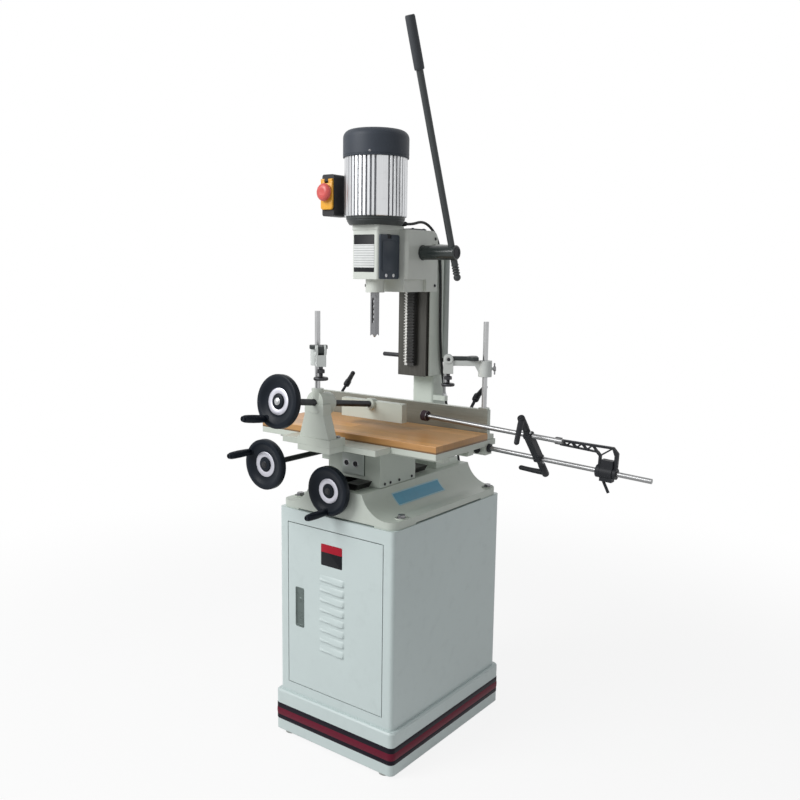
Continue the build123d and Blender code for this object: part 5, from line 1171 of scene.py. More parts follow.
@dataclass
class Door(Assembly):
    """The louvred door, its bare plate and its latch."""

    front: float = -244.0
    plate_x: Flat = (-42.0, 28.0)
    plate_z: Flat = (501.0, 557.0)
    plate_corner: float = 2.5
    latch_x: float = -117.0
    latch_low: float = 317.0
    latch_high: float = 419.0
    latch_w: float = 24.0
    latch_frame: float = 2.5
    louvre_x: float = -6.0
    louvre_w: float = 84.0
    louvre_low: float = 269.0
    louvre_pitch: float = 27.0
    louvre_count: int = 8
    louvre_h: float = 16.0
    louvre_proud: float = 6.4
    louvre_sheet: float = 0.9
    bezel: float = 3.2

    def latch_middle(self) -> Matrix:
        """A frame at the middle of the latch, z out of the door and y up."""
        return to_front(self.latch_x, self.front, (self.latch_low + self.latch_high) / 2)

    def louvre_skin(self, z: float, inset: float) -> list[list[Point]]:
        """One skin of a louvre.

        Args:
            z: the lip's height.
            inset: how far it lies inside the outer skin.

        Returns:
            Rows of points, the lip's first.
        """
        across, rise = 28, 10
        rows = []
        for j in range(rise + 1):
            v = j / rise
            row = []
            for i in range(across + 1):
                u = 2 * i / across - 1
                scoop = 0.3 + 0.7 * ((u + 1) / 2) ** 1.2
                swell = scoop * max(0.0, 1 - abs(u) ** 5) ** 0.5 * math.cos(v * math.pi / 2) ** 0.75
                out = self.louvre_proud * swell - inset
                row.append((self.louvre_x + u * (self.louvre_w / 2 - inset), self.front - out,
                            z + v * (self.louvre_h - inset * 2)))
            rows.append(row)
        return rows

    def louvre(self, z: float) -> Form:
        """A pressed louvre, open along its lower lip.

        Args:
            z: the lip's height.

        Returns:
            Its form.
        """
        form = Form()
        outer, inner = ([[form.mesh.verts.new(point) for point in row] for row in self.louvre_skin(z, inset)]
                        for inset in (0.0, self.louvre_sheet))
        strips = list(zip(outer, outer[1:])) + list(zip(inner, inner[1:])) + [(outer[0], inner[0])]
        for low, high in strips:
            for corners in zip(low, low[1:], high[1:], high):
                form.mesh.faces.new(corners)
        return form

    def latch(self) -> Form:
        """A flush paddle latch with its raised frame, lock barrel and thumb rest.

        Returns:
            Its form.
        """
        height = self.latch_high - self.latch_low
        middle = self.latch_middle()
        frame = 2 * self.latch_frame
        outer = rounded(self.latch_w, height, 1.6, 3)
        inner = rounded(self.latch_w - frame, height - frame, 1.0, 3)
        form = Form().prism(outer, -4.0, -0.9, middle, 0.5)
        brow = [(x * 0.98, y * 0.995) for x, y in outer]
        foot = [(x * 0.96, y * 0.99) for x, y in inner]
        rim = ((outer, -1.0), (outer, -0.3), (brow, 0.0), (inner, 0.0), (foot, -1.0))
        form.rings([level(outline, lift) for outline, lift in rim], middle)
        barrel = middle @ moved(0, height * 0.2, -1.0)
        form.turned([(0, -0.4), (1.1, -0.4), (1.2, 0.6), (5.6, 0.8), (6.4, 0.4), (6.8, -0.2)], barrel, 36)
        form.prism(rounded(1.4, 7.6, 0.6, 2), 0.55, 0.95, barrel, 0.1)
        for i in range(5):
            rib = middle @ moved(0, -height * 0.14 - 5.2 * i, -1.0)
            form.prism(rounded(self.latch_w - 9.0, 2.4, 1.1, 3), -0.2, 0.9, rib, 0.4)
        return form

    def latch_bezel(self) -> Form:
        """The thin raised frame on the door round the latch.

        Returns:
            Its form.
        """
        height = self.latch_high - self.latch_low
        rows = []
        for proud, lift in ((self.bezel, -0.2), (self.bezel, 0.5), (self.bezel * 0.75, 0.9), (0.9, 0.9),
                            (0.4, 0.5), (0.4, -0.2)):
            outline = rounded(self.latch_w + 2 * proud, height + 2 * proud, 1.4 + proud, 4)
            rows.append(level(outline, lift))
        return Form().rings(rows, self.latch_middle(), loop=True)

    def build(self) -> None:
        """Paint the door, press its louvres, and set its plate and latch."""
        self.paint(CABINET_PAINT, "cabinet_door")
        plate = label(self.plate_x, self.plate_z, self.front, self.plate_corner)
        self.add("door_plate", plate, DOOR_PRINT, "door", Slot.BLACK_PLASTIC)
        for i in range(self.louvre_count):
            piece = self.louvre(self.louvre_low + i * self.louvre_pitch)
            self.add(f"louvre_{i + 1}", piece, CABINET_PAINT, "door", Slot.PAINT, crease=60.0)
        self.add("latch_paddle", self.latch(), LATCH_METAL, "latch", Slot.LATCH, ["door_latch"])
        self.add("latch_bezel", self.latch_bezel(), LATCH_METAL, "door", Slot.LATCH)


@dataclass
class BaseCasting(Assembly):
    """The flared base with its name strip, bolts and ways."""

    cove_x: float = 160.0
    cove_z: float = 726.28
    cove_r: float = 77.28
    strip_turn: Flat = (33.0, 57.0)
    strip_y: Flat = (-127.0, 71.0)
    bolts: tuple[Flat, ...] = ((-168.0, -186.0), (168.0, -186.0), (-168.0, 214.0), (168.0, 214.0))
    flange_top: float = 649.0
    rim_size: Flat = (26.8, 38.0)
    rim_w: float = 1.9
    rim_h: float = 2.5

    def strip(self, margin: float, lift: float, thick: float) -> Form:
        """A thin plate bent to the cove.

        Args:
            margin: how far its edges stay inside the strip's.
            lift: its underside above the cove.
            thick: its thickness.

        Returns:
            Its form.
        """
        steps = 12
        first, last = (math.radians(v) for v in self.strip_turn)
        inset = margin / self.cove_r
        front, back = self.strip_y[0] + margin, self.strip_y[1] - margin
        under = self.cove_r - lift
        rows = []
        for i in range(steps + 1):
            turn = first + inset + (last - first - 2 * inset) * i / steps
            rows.append([(self.cove_x - radius * math.sin(turn), y, self.cove_z - radius * math.cos(turn))
                         for radius, y in ((under, front), (under, back), (under - thick, back),
                                           (under - thick, front))])
        return Form().rings(rows, Matrix(), capped=True)

    def bolt_rims(self) -> Form:
        """The raised rims round the bolts' slots.

        Returns:
            Their form.
        """
        wide, long = self.rim_size
        top, shoulder = self.rim_h, self.rim_h - 0.6
        section = ((0.0, -0.3), (0.2, shoulder), (0.7, top), (self.rim_w - 0.7, top),
                   (self.rim_w - 0.2, shoulder), (self.rim_w, -0.3))
        rows = [level(rounded(wide - 2 * inset, long - 2 * inset, wide / 2 - inset - 0.01, 10), height)
                for inset, height in section]
        form = Form()
        for x, y in self.bolts:
            form.rings(rows, moved(x, y, self.flange_top), loop=True)
        return form

    def build(self) -> None:
        """Paint the casting, plate the bolts and bend the strip."""
        self.paint(BASE_PAINT, "base_casting")
        self.paint(BOLT_STEEL, "base_bolts")
        self.add("bolt_rims", self.bolt_rims(), CASTING_PAINT, "stand", Slot.PAINT)
        self.add("name_strip_back", self.strip(-3.5, -0.1, 0.6), NAME_BACK, "stand", Slot.ALUMINIUM)
        self.add("name_strip", self.strip(0.0, 0.4, 0.5), NAME_PRINT, "stand", Slot.PAINT)


@dataclass
class Handwheel(Assembly):
    """One dished handwheel with its satin ring and crank handle."""

    name: str
    at: Matrix
    body: str
    grip: str
    crank: float
    nut: Finish = OILED_STEEL
    crank_r: float = 53.0
    seat: float = 9.4
    handle_l: float = 66.0
    handle_r: float = 9.5
    handle_bore: float = 4.06

    def stud(self, height: float) -> Matrix:
        """A frame on the handle's axis, at a height above the wheel's middle."""
        return self.at @ moved(*polar(self.crank_r, self.crank), height)

    def wheel(self) -> Form:
        """Rim, dish, hub and the handle's stud.

        Returns:
            Their form.
        """
        profile = [(0.0, 6.2), (6.6, 6.2), (7.0, 5.4), (14.5, 5.4), (16.6, 4.6), (17.6, 2.6), (18.2, 1.5),
                   (31.4, 1.5), (32.4, 1.2), (38.0, 2.2), (44.0, 4.6), (49.0, 7.4), (52.0, 8.7), (55.0, 9.0),
                   (60.0, 9.0), (61.6, 8.3), (62.4, 6.6), (62.5, 0.5), (62.5, -5.5), (61.6, -7.3),
                   (60.0, -8.0), (52.0, -8.0), (45.0, -7.6), (30.0, -7.0), (20.0, -6.6), (18.0, -8.0),
                   (18.0, -17.2), (17.2, -18.0), (0.0, -18.0)]
        form = Form().turned(profile, self.at, 96)
        end = self.seat + self.handle_l
        stud = [(0, 0), (9.2, 0), (9.2, 8.4), (8.6, 9.25), (4.0, 9.25), (4.0, end + 0.3), (6.2, end + 0.4),
                (6.5, end + 1.0), (6.5, end + 3.2), (5.8, end + 3.9), (3.6, end + 3.9), (3.4, end + 2.0),
                (0, end + 2.0)]
        return form.turned(stud, self.stud(0), 32)

    def handle(self) -> Form:
        """The loose handle on its stud.

        Returns:
            Its form.
        """
        shares = ((0.0, 0.78), (0.02, 0.84), (0.1, 0.9), (0.3, 0.965), (0.55, 1.0), (0.8, 0.965), (0.93, 0.9),
                  (0.98, 0.83), (1.0, 0.74))
        swell = [(self.handle_r * r, self.handle_l * s) for s, r in shares]
        profile = [(self.handle_bore, 0.0), *swell, (self.handle_bore, self.handle_l)]
        return Form().turned(profile, self.stud(self.seat), 40, True)

    def build(self) -> None:
        """Wheel, satin ring, hub nut and handle."""
        name = self.name
        self.add(f"{name}_rim", self.wheel(), WHEEL_BLACK, self.body, Slot.WHEEL, [f"{name}_wheel"], 38.0)
        ring = Form().turned([(18.3, 1.4), (18.6, 2.3), (19.2, 2.6), (30.4, 2.6), (31.0, 2.3), (31.3, 1.4)],
                             self.at, 72, True)
        self.add(f"{name}_ring", ring, SATIN_RING, self.body, Slot.ALUMINIUM)
        nut = Form().hex_head(11.0, 2.6, self.at @ moved(0, 0, 6.0))
        nut.turned([(8.4, 5.2), (8.4, 6.3), (7.8, 6.6), (5.0, 6.6), (5.0, 5.2)], self.at, 36, True)
        self.add(f"{name}_nut", nut, self.nut, self.body, Slot.DARK_STEEL)
        self.add(f"{name}_grip", self.handle(), WHEEL_BLACK, self.grip, Slot.WHEEL, [f"{name}_handle"])


@dataclass
class CrossSlide(Assembly):
    """The saddle on its ways, with its screws."""

    plate_y: float = -171.0
    plate_t: float = 4.0
    plate_size: Flat = (70.6, 52.6)
    plate_z: float = 757.0
    # width of the painted shadow round the plate
    shadow_rim: float = 1.6
    plate_screws: tuple[Flat, ...] = ((-20.0, 758.0), (9.0, 758.0))
    side_x: float = 85.0
    gib_y: tuple[float, ...] = (-147.0, -124.0, -87.0, -33.0)
    gib_z: float = 713.0

    def build(self) -> None:
        """Paint the saddle, oil the screw and fit the plate, its painted shadow outline and fasteners."""
        self.paint(SADDLE_PAINT, "saddle")
        self.paint(OILED_STEEL, "cross_screw", "table_pinion_shaft", "cross_wheel", "table_wheel")
        at = to_front(0, self.plate_y, self.plate_z)
        back = -self.plate_t
        wide, high = self.plate_size
        plate = Form().prism(rounded(wide, high, 2.0, 3), back, 0.4, at, 0.7)
        self.add("saddle_plate", plate, PLATE_PAINT, "saddle", Slot.PAINT)
        # painted shadow: a dark outline round the plate, standing in for the shadow gap at its edges
        rim = 2 * self.shadow_rim
        shadow_rim = Form().prism(rounded(wide + rim, high + rim, 3.0, 3), back - 0.2, back + 1.0, at, 0.3)
        self.add("saddle_plate_shadow", shadow_rim, RUBBER_AND_SHADOW, "saddle", Slot.BLACK_PLASTIC)
        screws, rims = Form(), Form()
        for x, z in self.plate_screws:
            at = to_front(x, self.plate_y, z)
            screws.socket_screw(6.8, 3.0, at)
            rims.turned([(7.0, -0.2), (7.0, 1.0), (7.4, 1.5), (8.8, 1.5), (9.4, 1.0), (9.6, -0.2)],
                        at, 36, True)
        self.add("saddle_plate_screws", screws, OILED_STEEL, "saddle", Slot.DARK_STEEL)
        self.add("saddle_plate_rims", rims, BRIGHT_STEEL, "saddle", Slot.STEEL)
        gibs = Form()
        for y in self.gib_y:
            gibs.gib_screw(1.6, 3.4, to_right(self.side_x, y, self.gib_z))
        self.add("saddle_gib_screws", gibs, OILED_STEEL, "saddle", Slot.DARK_STEEL)


@dataclass
class Table(Assembly):
    """The iron table, its wood top and the lock of the stop rod."""

    rod_at: Point = (283.0, 22.0, 806.0)
    knob_at: Point = (265.0, 7.0, 802.0)
    droop: float = 2.6

    def build(self) -> None:
        """Paint the iron, seal the wood and set the rod's collar and knob."""
        self.paint(CASTING_PAINT, "table_iron")
        self.paint(TABLE_WOOD, "table_top")
        collar = moved(*self.rod_at) @ spun("Y", self.droop + 90)
        lock = Form().turned([(6.2, 0.0), (10.2, 0.0), (11.0, 0.8), (11.0, 5.6), (10.2, 6.4), (6.2, 6.4)],
                             collar, 40, True)
        knob = [(0, 0), (3.4, 0), (3.4, 7.0), (7.6, 7.4), (8.2, 8.2), (8.2, 13.0), (7.4, 14.0), (0, 14.0)]
        lock.turned(knob, to_front(*self.knob_at), 30)
        self.add("stop_rod_lock", lock, STOP_BLACK, "table", Slot.BLACK_PLASTIC)


@dataclass
class Vise(Assembly):
    """The vise's bracket, its threaded screw and its jaw."""

    boss: Point = (0.0, -290.0, 928.0)
    tilt: float = 7.5
    wheel_back: float = 144.0
    screw_r: float = 8.0
    screw_from: float = -149.4
    thread_from: float = -112.0
    thread_to: float = 176.0
    thread_depth: float = 0.9
    screw_to: float = 206.6
    pitch: float = 4.0
    foot_top: float = 845.0
    foot_screws: tuple[Flat, ...] = ((-41.0, -275.0), (41.0, -275.0))

    def axis(self) -> Matrix:
        """The screw's frame, z from the wheel to the fence."""
        return moved(*self.boss) @ spun("X", -90 - self.tilt)

    def wheel_at(self) -> Matrix:
        """The handwheel's frame, z out of its face."""
        back, up = polar(self.wheel_back, self.tilt)
        return moved(self.boss[0], self.boss[1] - back, self.boss[2] + up) @ spun("X", 90 - self.tilt)

    def build(self) -> None:
        """Paint the castings, cut the thread and fit the foot's screws."""
        self.paint(CASTING_PAINT, "vise_bracket", "vise_jaw")
        self.paint(OILED_STEEL, "vise_screw", "vise_wheel")
        at = self.axis()
        screw = Form().rod(self.screw_r, self.screw_from, self.thread_from, at)
        screw.thread(self.screw_r, self.thread_depth, self.pitch, self.thread_from, self.thread_to, at)
        screw.rod(self.screw_r, self.thread_to, self.screw_to, at)
        self.add("vise_thread", screw, OILED_STEEL, "vise_feed", Slot.DARK_STEEL, ["vise_screw"])
        bolts = Form()
        for x, y in self.foot_screws:
            bolts.socket_screw(5.4, 4.6, moved(x, y, self.foot_top))
        self.add("vise_foot_screws", bolts, BOLT_STEEL, "table", Slot.DARK_STEEL)


@dataclass
class RatchetLever:
    """A clamping lever: turned hub, cap screw and a swept arm."""

    hub_r: float = 9.0
    hub_h: float = 20.0
    arm_up: float = 10.4
    arm_r: float = 7.6
    arm_flat: float = 0.86
    arm_steps: int = 20
    bow: float = 1.6
    length: float = 62.0
    tip_r: float = 6.4
    rise: float = 8.0
    stud_r: float = 4.0

    def form(self, at: Matrix, stud: Flat) -> Form:
        """The lever with its stud.

        Args:
            at: the hub's seat, z up the hub and x along the arm.
            stud: heights between which the stud runs.

        Returns:
            Its form.
        """
        h = self.hub_h
        hub = [(0, 0), (7.2, 0), (8.0, 0.6), (self.hub_r, 3.4), (self.hub_r, h - 4.0), (8.4, h - 1.6),
               (7.0, h - 0.3), (5.4, h), (4.6, h), (4.4, h - 1.6), (0, h - 1.6)]
        form = Form().turned(hub, at, 36)
        path, radii = [], []
        for i in range(self.arm_steps + 1):
            s = math.sin(i / self.arm_steps * math.pi / 2)
            out, up = polar(s * (self.length - 0.6), self.rise)
            path.append((out, 0.0, self.arm_up + up + self.bow * math.sin(s * math.pi)))
            short = max(0.0, 1 - (1 - s) * self.length / self.tip_r)
            waist = self.arm_r - 1.5 * min(1.0, s * 1.6) + 0.3 * s
            radii.append(waist * math.sqrt(max(0.01, 1 - short * short)))
        form.limb(path, radii, at, self.arm_flat, 20)
        form.turned([(0, h - 1.8), (3.8, h - 1.8), (3.8, h + 0.4), (3.0, h + 1.0), (0, h + 1.0)], at, 20)
        low, high = stud
        r = self.stud_r
        return form.turned([(0, low), (r - 0.6, low), (r, low + 0.6), (r, high), (0, high)], at, 24)


@dataclass
class Fence(Assembly):
    """The fence behind the work, its clamping levers and the rear rod."""

    lock_x: float = 218.0
    seat_y: float = 31.5
    seat_z: float = 892.0
    tilt: float = 45.0
    stud_l: float = 34.0
    stud_in: float = 7.5
    turn: float = -45.0
    lever: RatchetLever = field(default_factory=RatchetLever)

    def build(self) -> None:
        """Paint the fence, plate the rods and fit the levers."""
        self.paint(FENCE_PAINT, "fence")
        self.paint(HOLD_ROD, "rear_hold_rod", "front_hold_rod")
        self.paint(STOP_BLACK, "fence_lever_left", "fence_lever_right")
        for side, x in (("left", -self.lock_x), ("right", self.lock_x)):
            at = moved(x, self.seat_y, self.seat_z) @ spun("X", -self.tilt)
            at = at @ moved(0, 0, self.stud_l) @ spun("Z", self.turn)
            form = self.lever.form(at, (-self.stud_l - self.stud_in, 2.0))
            self.add(f"fence_clamp_{side}", form, STOP_BLACK, f"fence_lock_{side}", Slot.BLACK_PLASTIC,
                     [f"fence_lever_{side}"])


@dataclass
class HoldDown(Assembly):
    """One hold-down arm with its cam lever and foot, the arm along -x of its frame."""

    name: str
    at: Matrix
    reach: float = 92.0
    pin_up: float = 23.0
    cheek: float = 11.0
    cam_half: float = 6.6
    cam_r: float = 9.6
    pin_r: float = 4.1
    bar: Flat = (20.4, 30.4)
    bar_steps: int = 30
    flare: Flat = (-47.0, -32.0)
    lever_end: float = -18.0
    paddle_half: float = 21.0
    stem_r: float = 4.9
    collar: Flat = (-28.3, -19.8)
    pad: Flat = (-44.8, -36.8)
    pad_r: float = 17.0
    hub_r: float = 17.0

    def cam(self) -> Form:
        """Cam disc between the cheeks and a bar that widens into a thumb paddle.

        Returns:
            Their form.
        """
        half, r, bore = self.cam_half, self.cam_r, self.pin_r
        thick = 2 * half
        disc = [(bore, 0.0), (r - 0.4, 0.0), (r, 0.5), (r, thick - 0.5), (r - 0.4, thick), (bore, thick)]
        form = Form().turned(disc, self.at @ to_front(-self.reach, half, self.pin_up), 40, True)
        low, high = self.bar
        start = -self.reach + bore
        rows = []
        for i in range(self.bar_steps + 1):
            x = start + (self.lever_end - start) * i / self.bar_steps
            share = min(1.0, max(0.0, (x - self.flare[0]) / (self.flare[1] - self.flare[0])))
            wide = half + (self.paddle_half - half) * share * share * (3 - 2 * share)
            drop = 1.4 * (1 - min(1.0, (self.lever_end - x + 0.15) / 3.0))
            outline = rounded(2 * (wide - drop), high - low - 2 * drop, 2.2, 3)
            rows.append([(x, y, (low + high) / 2 + z) for y, z in outline])
        return form.rings(rows, self.at, capped=True)

    def foot(self) -> Form:
        """Threaded stem, lock nut and a soft round pad.

        Returns:
            Their form.
        """
        at = self.at @ moved(-self.reach, 0, 0)
        (low, high), (base, top) = self.collar, self.pad
        r = self.stem_r
        form = Form().turned([(0, high - 0.4), (r, high - 0.4), (r, -0.6), (r - 0.5, 0), (0, 0)], at, 28)
        form.hex_head(17.0, high - low, at @ moved(0, 0, low))
        form.thread(r, 0.6, 1.6, top - 0.4, low + 0.4, at, 18)
        r = self.pad_r
        pad = [(0, top), (r * 0.55, top), (r - 1.6, top - 1.2), (r - 0.4, top - 2.4), (r, top - 4.0),
               (r - 0.3, base + 1.2), (r - 1.4, base), (0, base)]
        return form.turned(pad, at, 44)

    def pivot(self) -> tuple[Form, Form]:
        """The pin's pale discs on the cheeks, and the pin's dark ends in them.

        Returns:
            The discs and the pin's ends.
        """
        discs, ends = Form(), Form()
        for side in (-1, 1):
            at = self.at @ moved(-self.reach, side * self.cheek, self.pin_up) @ spun("X", -90 * side)
            discs.turned([(4.4, -0.2), (11.0, -0.2), (11.4, 0.3), (11.2, 1.0), (10.4, 1.4), (5.4, 1.4),
                          (4.4, 0.8)], at, 44, True)
            ends.turned([(0, -0.4), (4.2, -0.4), (4.2, 1.2), (3.4, 1.8), (1.4, 2.0), (0, 2.0)], at, 28)
        return discs, ends

    def thumb_screw(self) -> Form:
        """The screw that locks the hub on its rod, with a bar through its head.

        Returns:
            Their form.
        """
        at = self.at @ to_right(self.hub_r, 0, 0)
        head = [(0, 0), (3.6, 0), (3.6, 3.4), (6.0, 3.7), (6.3, 4.3), (6.3, 9.2), (5.6, 9.9), (0, 9.9)]
        bar = [(-14.0, 4.0, 6.8), (-13.4, 3.8, 6.8), (13.4, -3.8, 6.8), (14.0, -4.0, 6.8)]
        return Form().turned(head, at, 28).limb(bar, [1.3, 1.9, 1.9, 1.3], at, steps=12)

    def build(self) -> None:
        """Arm, cam lever, pivot, thumb screw and foot."""
        name = self.name
        arm = f"{name}_arm"
        self.paint(ARM_PAINT, f"{name}_hold_arm")
        self.paint(OILED_STEEL, f"{name}_hold_lever", f"{name}_hold_foot")
        self.add(f"{name}_cam_lever", self.cam(), LEVER_BLACK, f"{name}_cam", Slot.DARK_STEEL,
                 [f"{name}_hold_lever"])
        self.add(f"{name}_pad", self.foot(), OILED_STEEL, f"{name}_foot", Slot.DARK_STEEL,
                 [f"{name}_hold_foot"])
        discs, ends = self.pivot()
        self.add(f"{name}_pivot_discs", discs, ARM_PAINT, arm, Slot.PAINT)
        self.add(f"{name}_pivot_pin", ends, OILED_STEEL, arm, Slot.DARK_STEEL)
        self.add(f"{name}_thumb_screw", self.thumb_screw(), BOLT_STEEL, arm, Slot.DARK_STEEL)


def link_lever() -> RatchetLever:
    """The taller lever on the link of the stop rods."""
    return RatchetLever(hub_h=44.0, arm_up=35.0, length=74.0, rise=0.0)


@dataclass
class WorkStops(Assembly):
    """The stop rods on the table's right, their link and the flip stop."""

    origin: Point = Table.rod_at
    droop: float = Table.droop
    link_s: float = 142.0
    link_forward: float = 61.0
    link_up: float = 66.0
    link_end: float = 23.0
    upper_turn: float = -75.0
    gap: float = 0.4
    rod_r: float = 6.0
    pad_in: float = -148.0
    pad_t: float = 16.0
    pin_out: Flat = (7.6, 12.5)
    lever: RatchetLever = field(default_factory=link_lever)

    def build(self) -> None:
        """Rods, link, levers, pad and flip stop."""
        self.paint(STOP_ROD, "stop_rod_lower", "stop_rod_upper")
        self.paint(STOP_BLACK, "stop_link", "link_lever_upper", "link_lever_lower", "flip_clamp", "flip_arm")
        frame = moved(*self.origin) @ spun("Y", self.droop)
        length = math.hypot(self.link_forward, self.link_up)
        lean = math.degrees(math.atan2(self.link_forward, self.link_up))
        link = frame @ moved(self.link_s, 0, 0) @ spun("X", lean)
        stud = (-(self.link_end - self.rod_r) + 2.0, 1.0)
        upper = link @ moved(0, 0, length + self.link_end + self.gap) @ spun("Z", self.upper_turn)
        lower = link @ moved(0, 0, -self.link_end - self.gap) @ spun("X", 180) @ spun("Z", 180)
        for name, at in (("upper", upper), ("lower", lower)):
            self.add(f"link_clamp_{name}", self.lever.form(at, stud), STOP_BLACK, f"link_lock_{name}",
                     Slot.BLACK_PLASTIC, [f"link_lever_{name}"])
        t = self.pad_t
        pad = frame @ to_right(self.pad_in - t, -self.link_forward, self.link_up)
        cap = Form().turned([(0, -0.4), (11.8, -0.4), (13.3, 0.8), (13.5, 2.4), (13.5, t - 2.0), (12.6, t),
                             (9.0, t + 0.6), (6.4, t + 0.8), (6.2, t - 1.0), (0, t - 1.0)], pad, 44)
        self.add("stop_pad", cap, STOP_RUBBER, "stop_upper", Slot.BLACK_PLASTIC)
        pins = Form()
        side, past = self.pin_out
        for z in (-past, length + past):
            pins.socket_screw(3.2, 2.0, link @ to_right(side, 0, z))
        self.add("link_pins", pins, BRIGHT_STEEL, "stop_link", Slot.STEEL)


@dataclass
class Column(Assembly):
    """The column, its rack, stop pin, gas spring and foot bolts."""

    foot_top: float = 722.0
    bolts: tuple[Flat, ...] = ((-50.0, 123.0), (50.0, 123.0), (-50.0, 202.0), (50.0, 202.0))
    pin_x: Flat = (-121.0, -45.5)
    pin_y: float = 107.2
    pin_z: float = 1011.0
    pin_r: float = 6.0
    pin_collar: float = 8.2
    gas_at: Flat = (66.0, 140.0)
    gas_low: float = 1000.0
    gas_cap: float = 1288.0
    lug_top: float = 905.0

    def pin(self) -> Form:
        """The stop pin's sleeve and collar.

        Returns:
            Their form.
        """
        start, end = self.pin_x
        length = end - start
        r, collar = self.pin_r, self.pin_collar
        profile = [(0, 0), (r - 1.6, 0.1), (r - 0.4, 1.2), (r, 2.4), (r, length - 6.0),
                   (collar, length - 5.6), (collar, length), (0, length)]
        return Form().turned(profile, to_right(start, self.pin_y, self.pin_z), 28)

    def build(self) -> None:
        """Paint the column, grease the rack with its painted highlight and shade, and dress the spring, pin
        and bolts.
        """
        self.paint(COLUMN_PAINT, "column")
        self.paint(RACK_STEEL, "feed_rack")
        self.paint(PLATED_ROD, "gas_spring_rod")
        self.paint(TUBE_GREY, "gas_spring_tube")
        bolts = Form()
        for x, y in self.bolts:
            at = moved(x, y, self.foot_top)
            bolts.turned([(0, 0), (10.5, 0), (11.0, 0.4), (11.0, 1.8), (10.4, 2.2), (0, 2.2)], at, 30)
            bolts.hex_head(16.0, 7.0, at @ moved(0, 0, 2.0))
        self.add("column_bolts", bolts, TURNED_STEEL, "stand", Slot.STEEL)
        self.add("stop_pin_sleeve", self.pin(), OILED_STEEL, "stand", Slot.STEEL)
        lip = [(4.3, -1.2), (6.6, -1.2), (8.1, 0.0), (8.4, 1.0), (8.4, 9.0), (8.0, 9.8), (4.3, 9.8)]
        cap = [(7.6, 0), (8.4, 0.6), (8.4, 8.0), (7.6, 9.0)]
        seal = Form().turned(lip, moved(*self.gas_at, self.gas_low), 32, True)
        seal.turned(cap, moved(*self.gas_at, self.gas_cap), 32, True)
        self.add("gas_spring_seal", seal, OILED_STEEL, "head", Slot.DARK_STEEL)
        nut = Form().hex_head(13.0, 6.0, moved(*self.gas_at, self.lug_top))
        self.add("gas_spring_nut", nut, TURNED_STEEL, "stand", Slot.STEEL)


@dataclass
class Head(Assembly):
    """The head casting with its bare plate, chuck cover and screws."""

    nose_front: float = -129.0
    plate_x: Flat = (-35.0, 30.0)
    plate_z: Flat = (1240.0, 1332.0)
    plate_corner: float = 2.0
    cover_x: float = 45.0
    cover_t: float = 4.0
    cover_y: Flat = (-124.0, -46.0)
    cover_z: Flat = (1223.0, 1333.0)
    panel_in: Flat = (16.0, 34.0)
    panel_up: float = 2.0
    cover_screw: Flat = (24.0, 9.0)
    side_x: float = 67.0
    gib_y: float = 82.0
    gib_z: tuple[float, ...] = (1206.0, 1328.0)
    holder_r: float = 23.52
    holder_z: float = 1206.0
    holder_turn: float = 217.0
    spindle_y: float = -87.0
    lid_x: Flat = (10.0, 60.0)
    lid_y: Flat = (-8.0, 52.0)
    lid_screw: Flat = (19.0, 24.0)
    top: float = 1348.0

    def dress_cover(self) -> None:
        """The chuck cover's panel, a dark block that fills its notch as painted shade, and its screws."""
        (y0, y1), (z0, z1) = self.cover_y, self.cover_z
        less_y, less_z = self.panel_in
        face = to_side(self.cover_x, (y0 + y1) / 2, (z0 + z1) / 2) @ moved(0, self.panel_up, 0)
        panel = Form().prism(rounded(y1 - y0 - less_y, z1 - z0 - less_z, 5.0, 5), -0.3, 1.4, face, 0.7)
        self.add("cover_panel", panel, COVER_BLACK, "head", Slot.BLACK_PLASTIC)
        # painted shade: a dark block behind the cover's notch, with a small bar on it
        notch_shade = to_side(self.cover_x - self.cover_t, self.spindle_y, z1)
        tab = Form().prism(rounded(15.0, 13.0, 2.0, 4), -0.3, 2.2, notch_shade @ moved(0, -5.5, 0), 0.5)
        tab.prism(rounded(8.0, 2.4, 1.0, 3), 2.0, 3.4, notch_shade @ moved(0, -6.0, 0), 0.4)
        self.add("cover_notch_shade", tab, STOP_BLACK, "head", Slot.BLACK_PLASTIC)
        screws = Form()
        inward, up = self.cover_screw
        for y in (y0 + inward, y1 - inward):
            screws.turned([(0, 0.4), (1.0, 0.5), (1.2, 1.6), (3.4, 1.7), (4.3, 1.2), (4.6, 0.0), (0, -0.2)],
                          to_right(self.cover_x, y, z0 + up), 24)
        self.add("cover_screws", screws, BRIGHT_STEEL, "head", Slot.STEEL)

    def build(self) -> None:
        """Paint the head, set its plate and fasten what it carries."""
        self.paint(HEAD_PAINT, "head_casting")
        self.paint(COVER_BLACK, "chuck_cover")
        plate = label(self.plate_x, self.plate_z, self.nose_front, self.plate_corner)
        self.add("head_plate", plate, NOSE_PRINT, "head", Slot.PAINT)
        self.dress_cover()
        gibs = Form()
        for z in self.gib_z:
            gibs.gib_screw(1.8, 4.0, to_right(self.side_x, self.gib_y, z))
        x, y = polar(self.holder_r, self.holder_turn)
        spot = moved(x, self.spindle_y + y, self.holder_z) @ spun("Z", self.holder_turn)
        gibs.socket_screw(3.6, 2.4, spot @ spun("Y", 90))
        self.add("head_screws", gibs, OILED_STEEL, "head", Slot.DARK_STEEL)
        (x0, x1), (y0, y1) = self.lid_x, self.lid_y
        at = moved((x0 + x1) / 2, (y0 + y1) / 2, self.top)
        lid = Form().prism(rounded(x1 - x0, y1 - y0, 3.0, 4), -0.2, 3.5, at, 0.8)
        out, deep = self.lid_screw
        for x, y in ((-out, -deep), (out, -deep), (-out, deep), (out, deep)):
            lid.turned([(0, 3.4), (3.2, 3.4), (3.2, 4.4), (2.4, 5.0), (0, 5.2)], at @ moved(x, y, 0), 20)
        self.add("head_top_plate", lid, COVER_BLACK, "head", Slot.BLACK_PAINT)


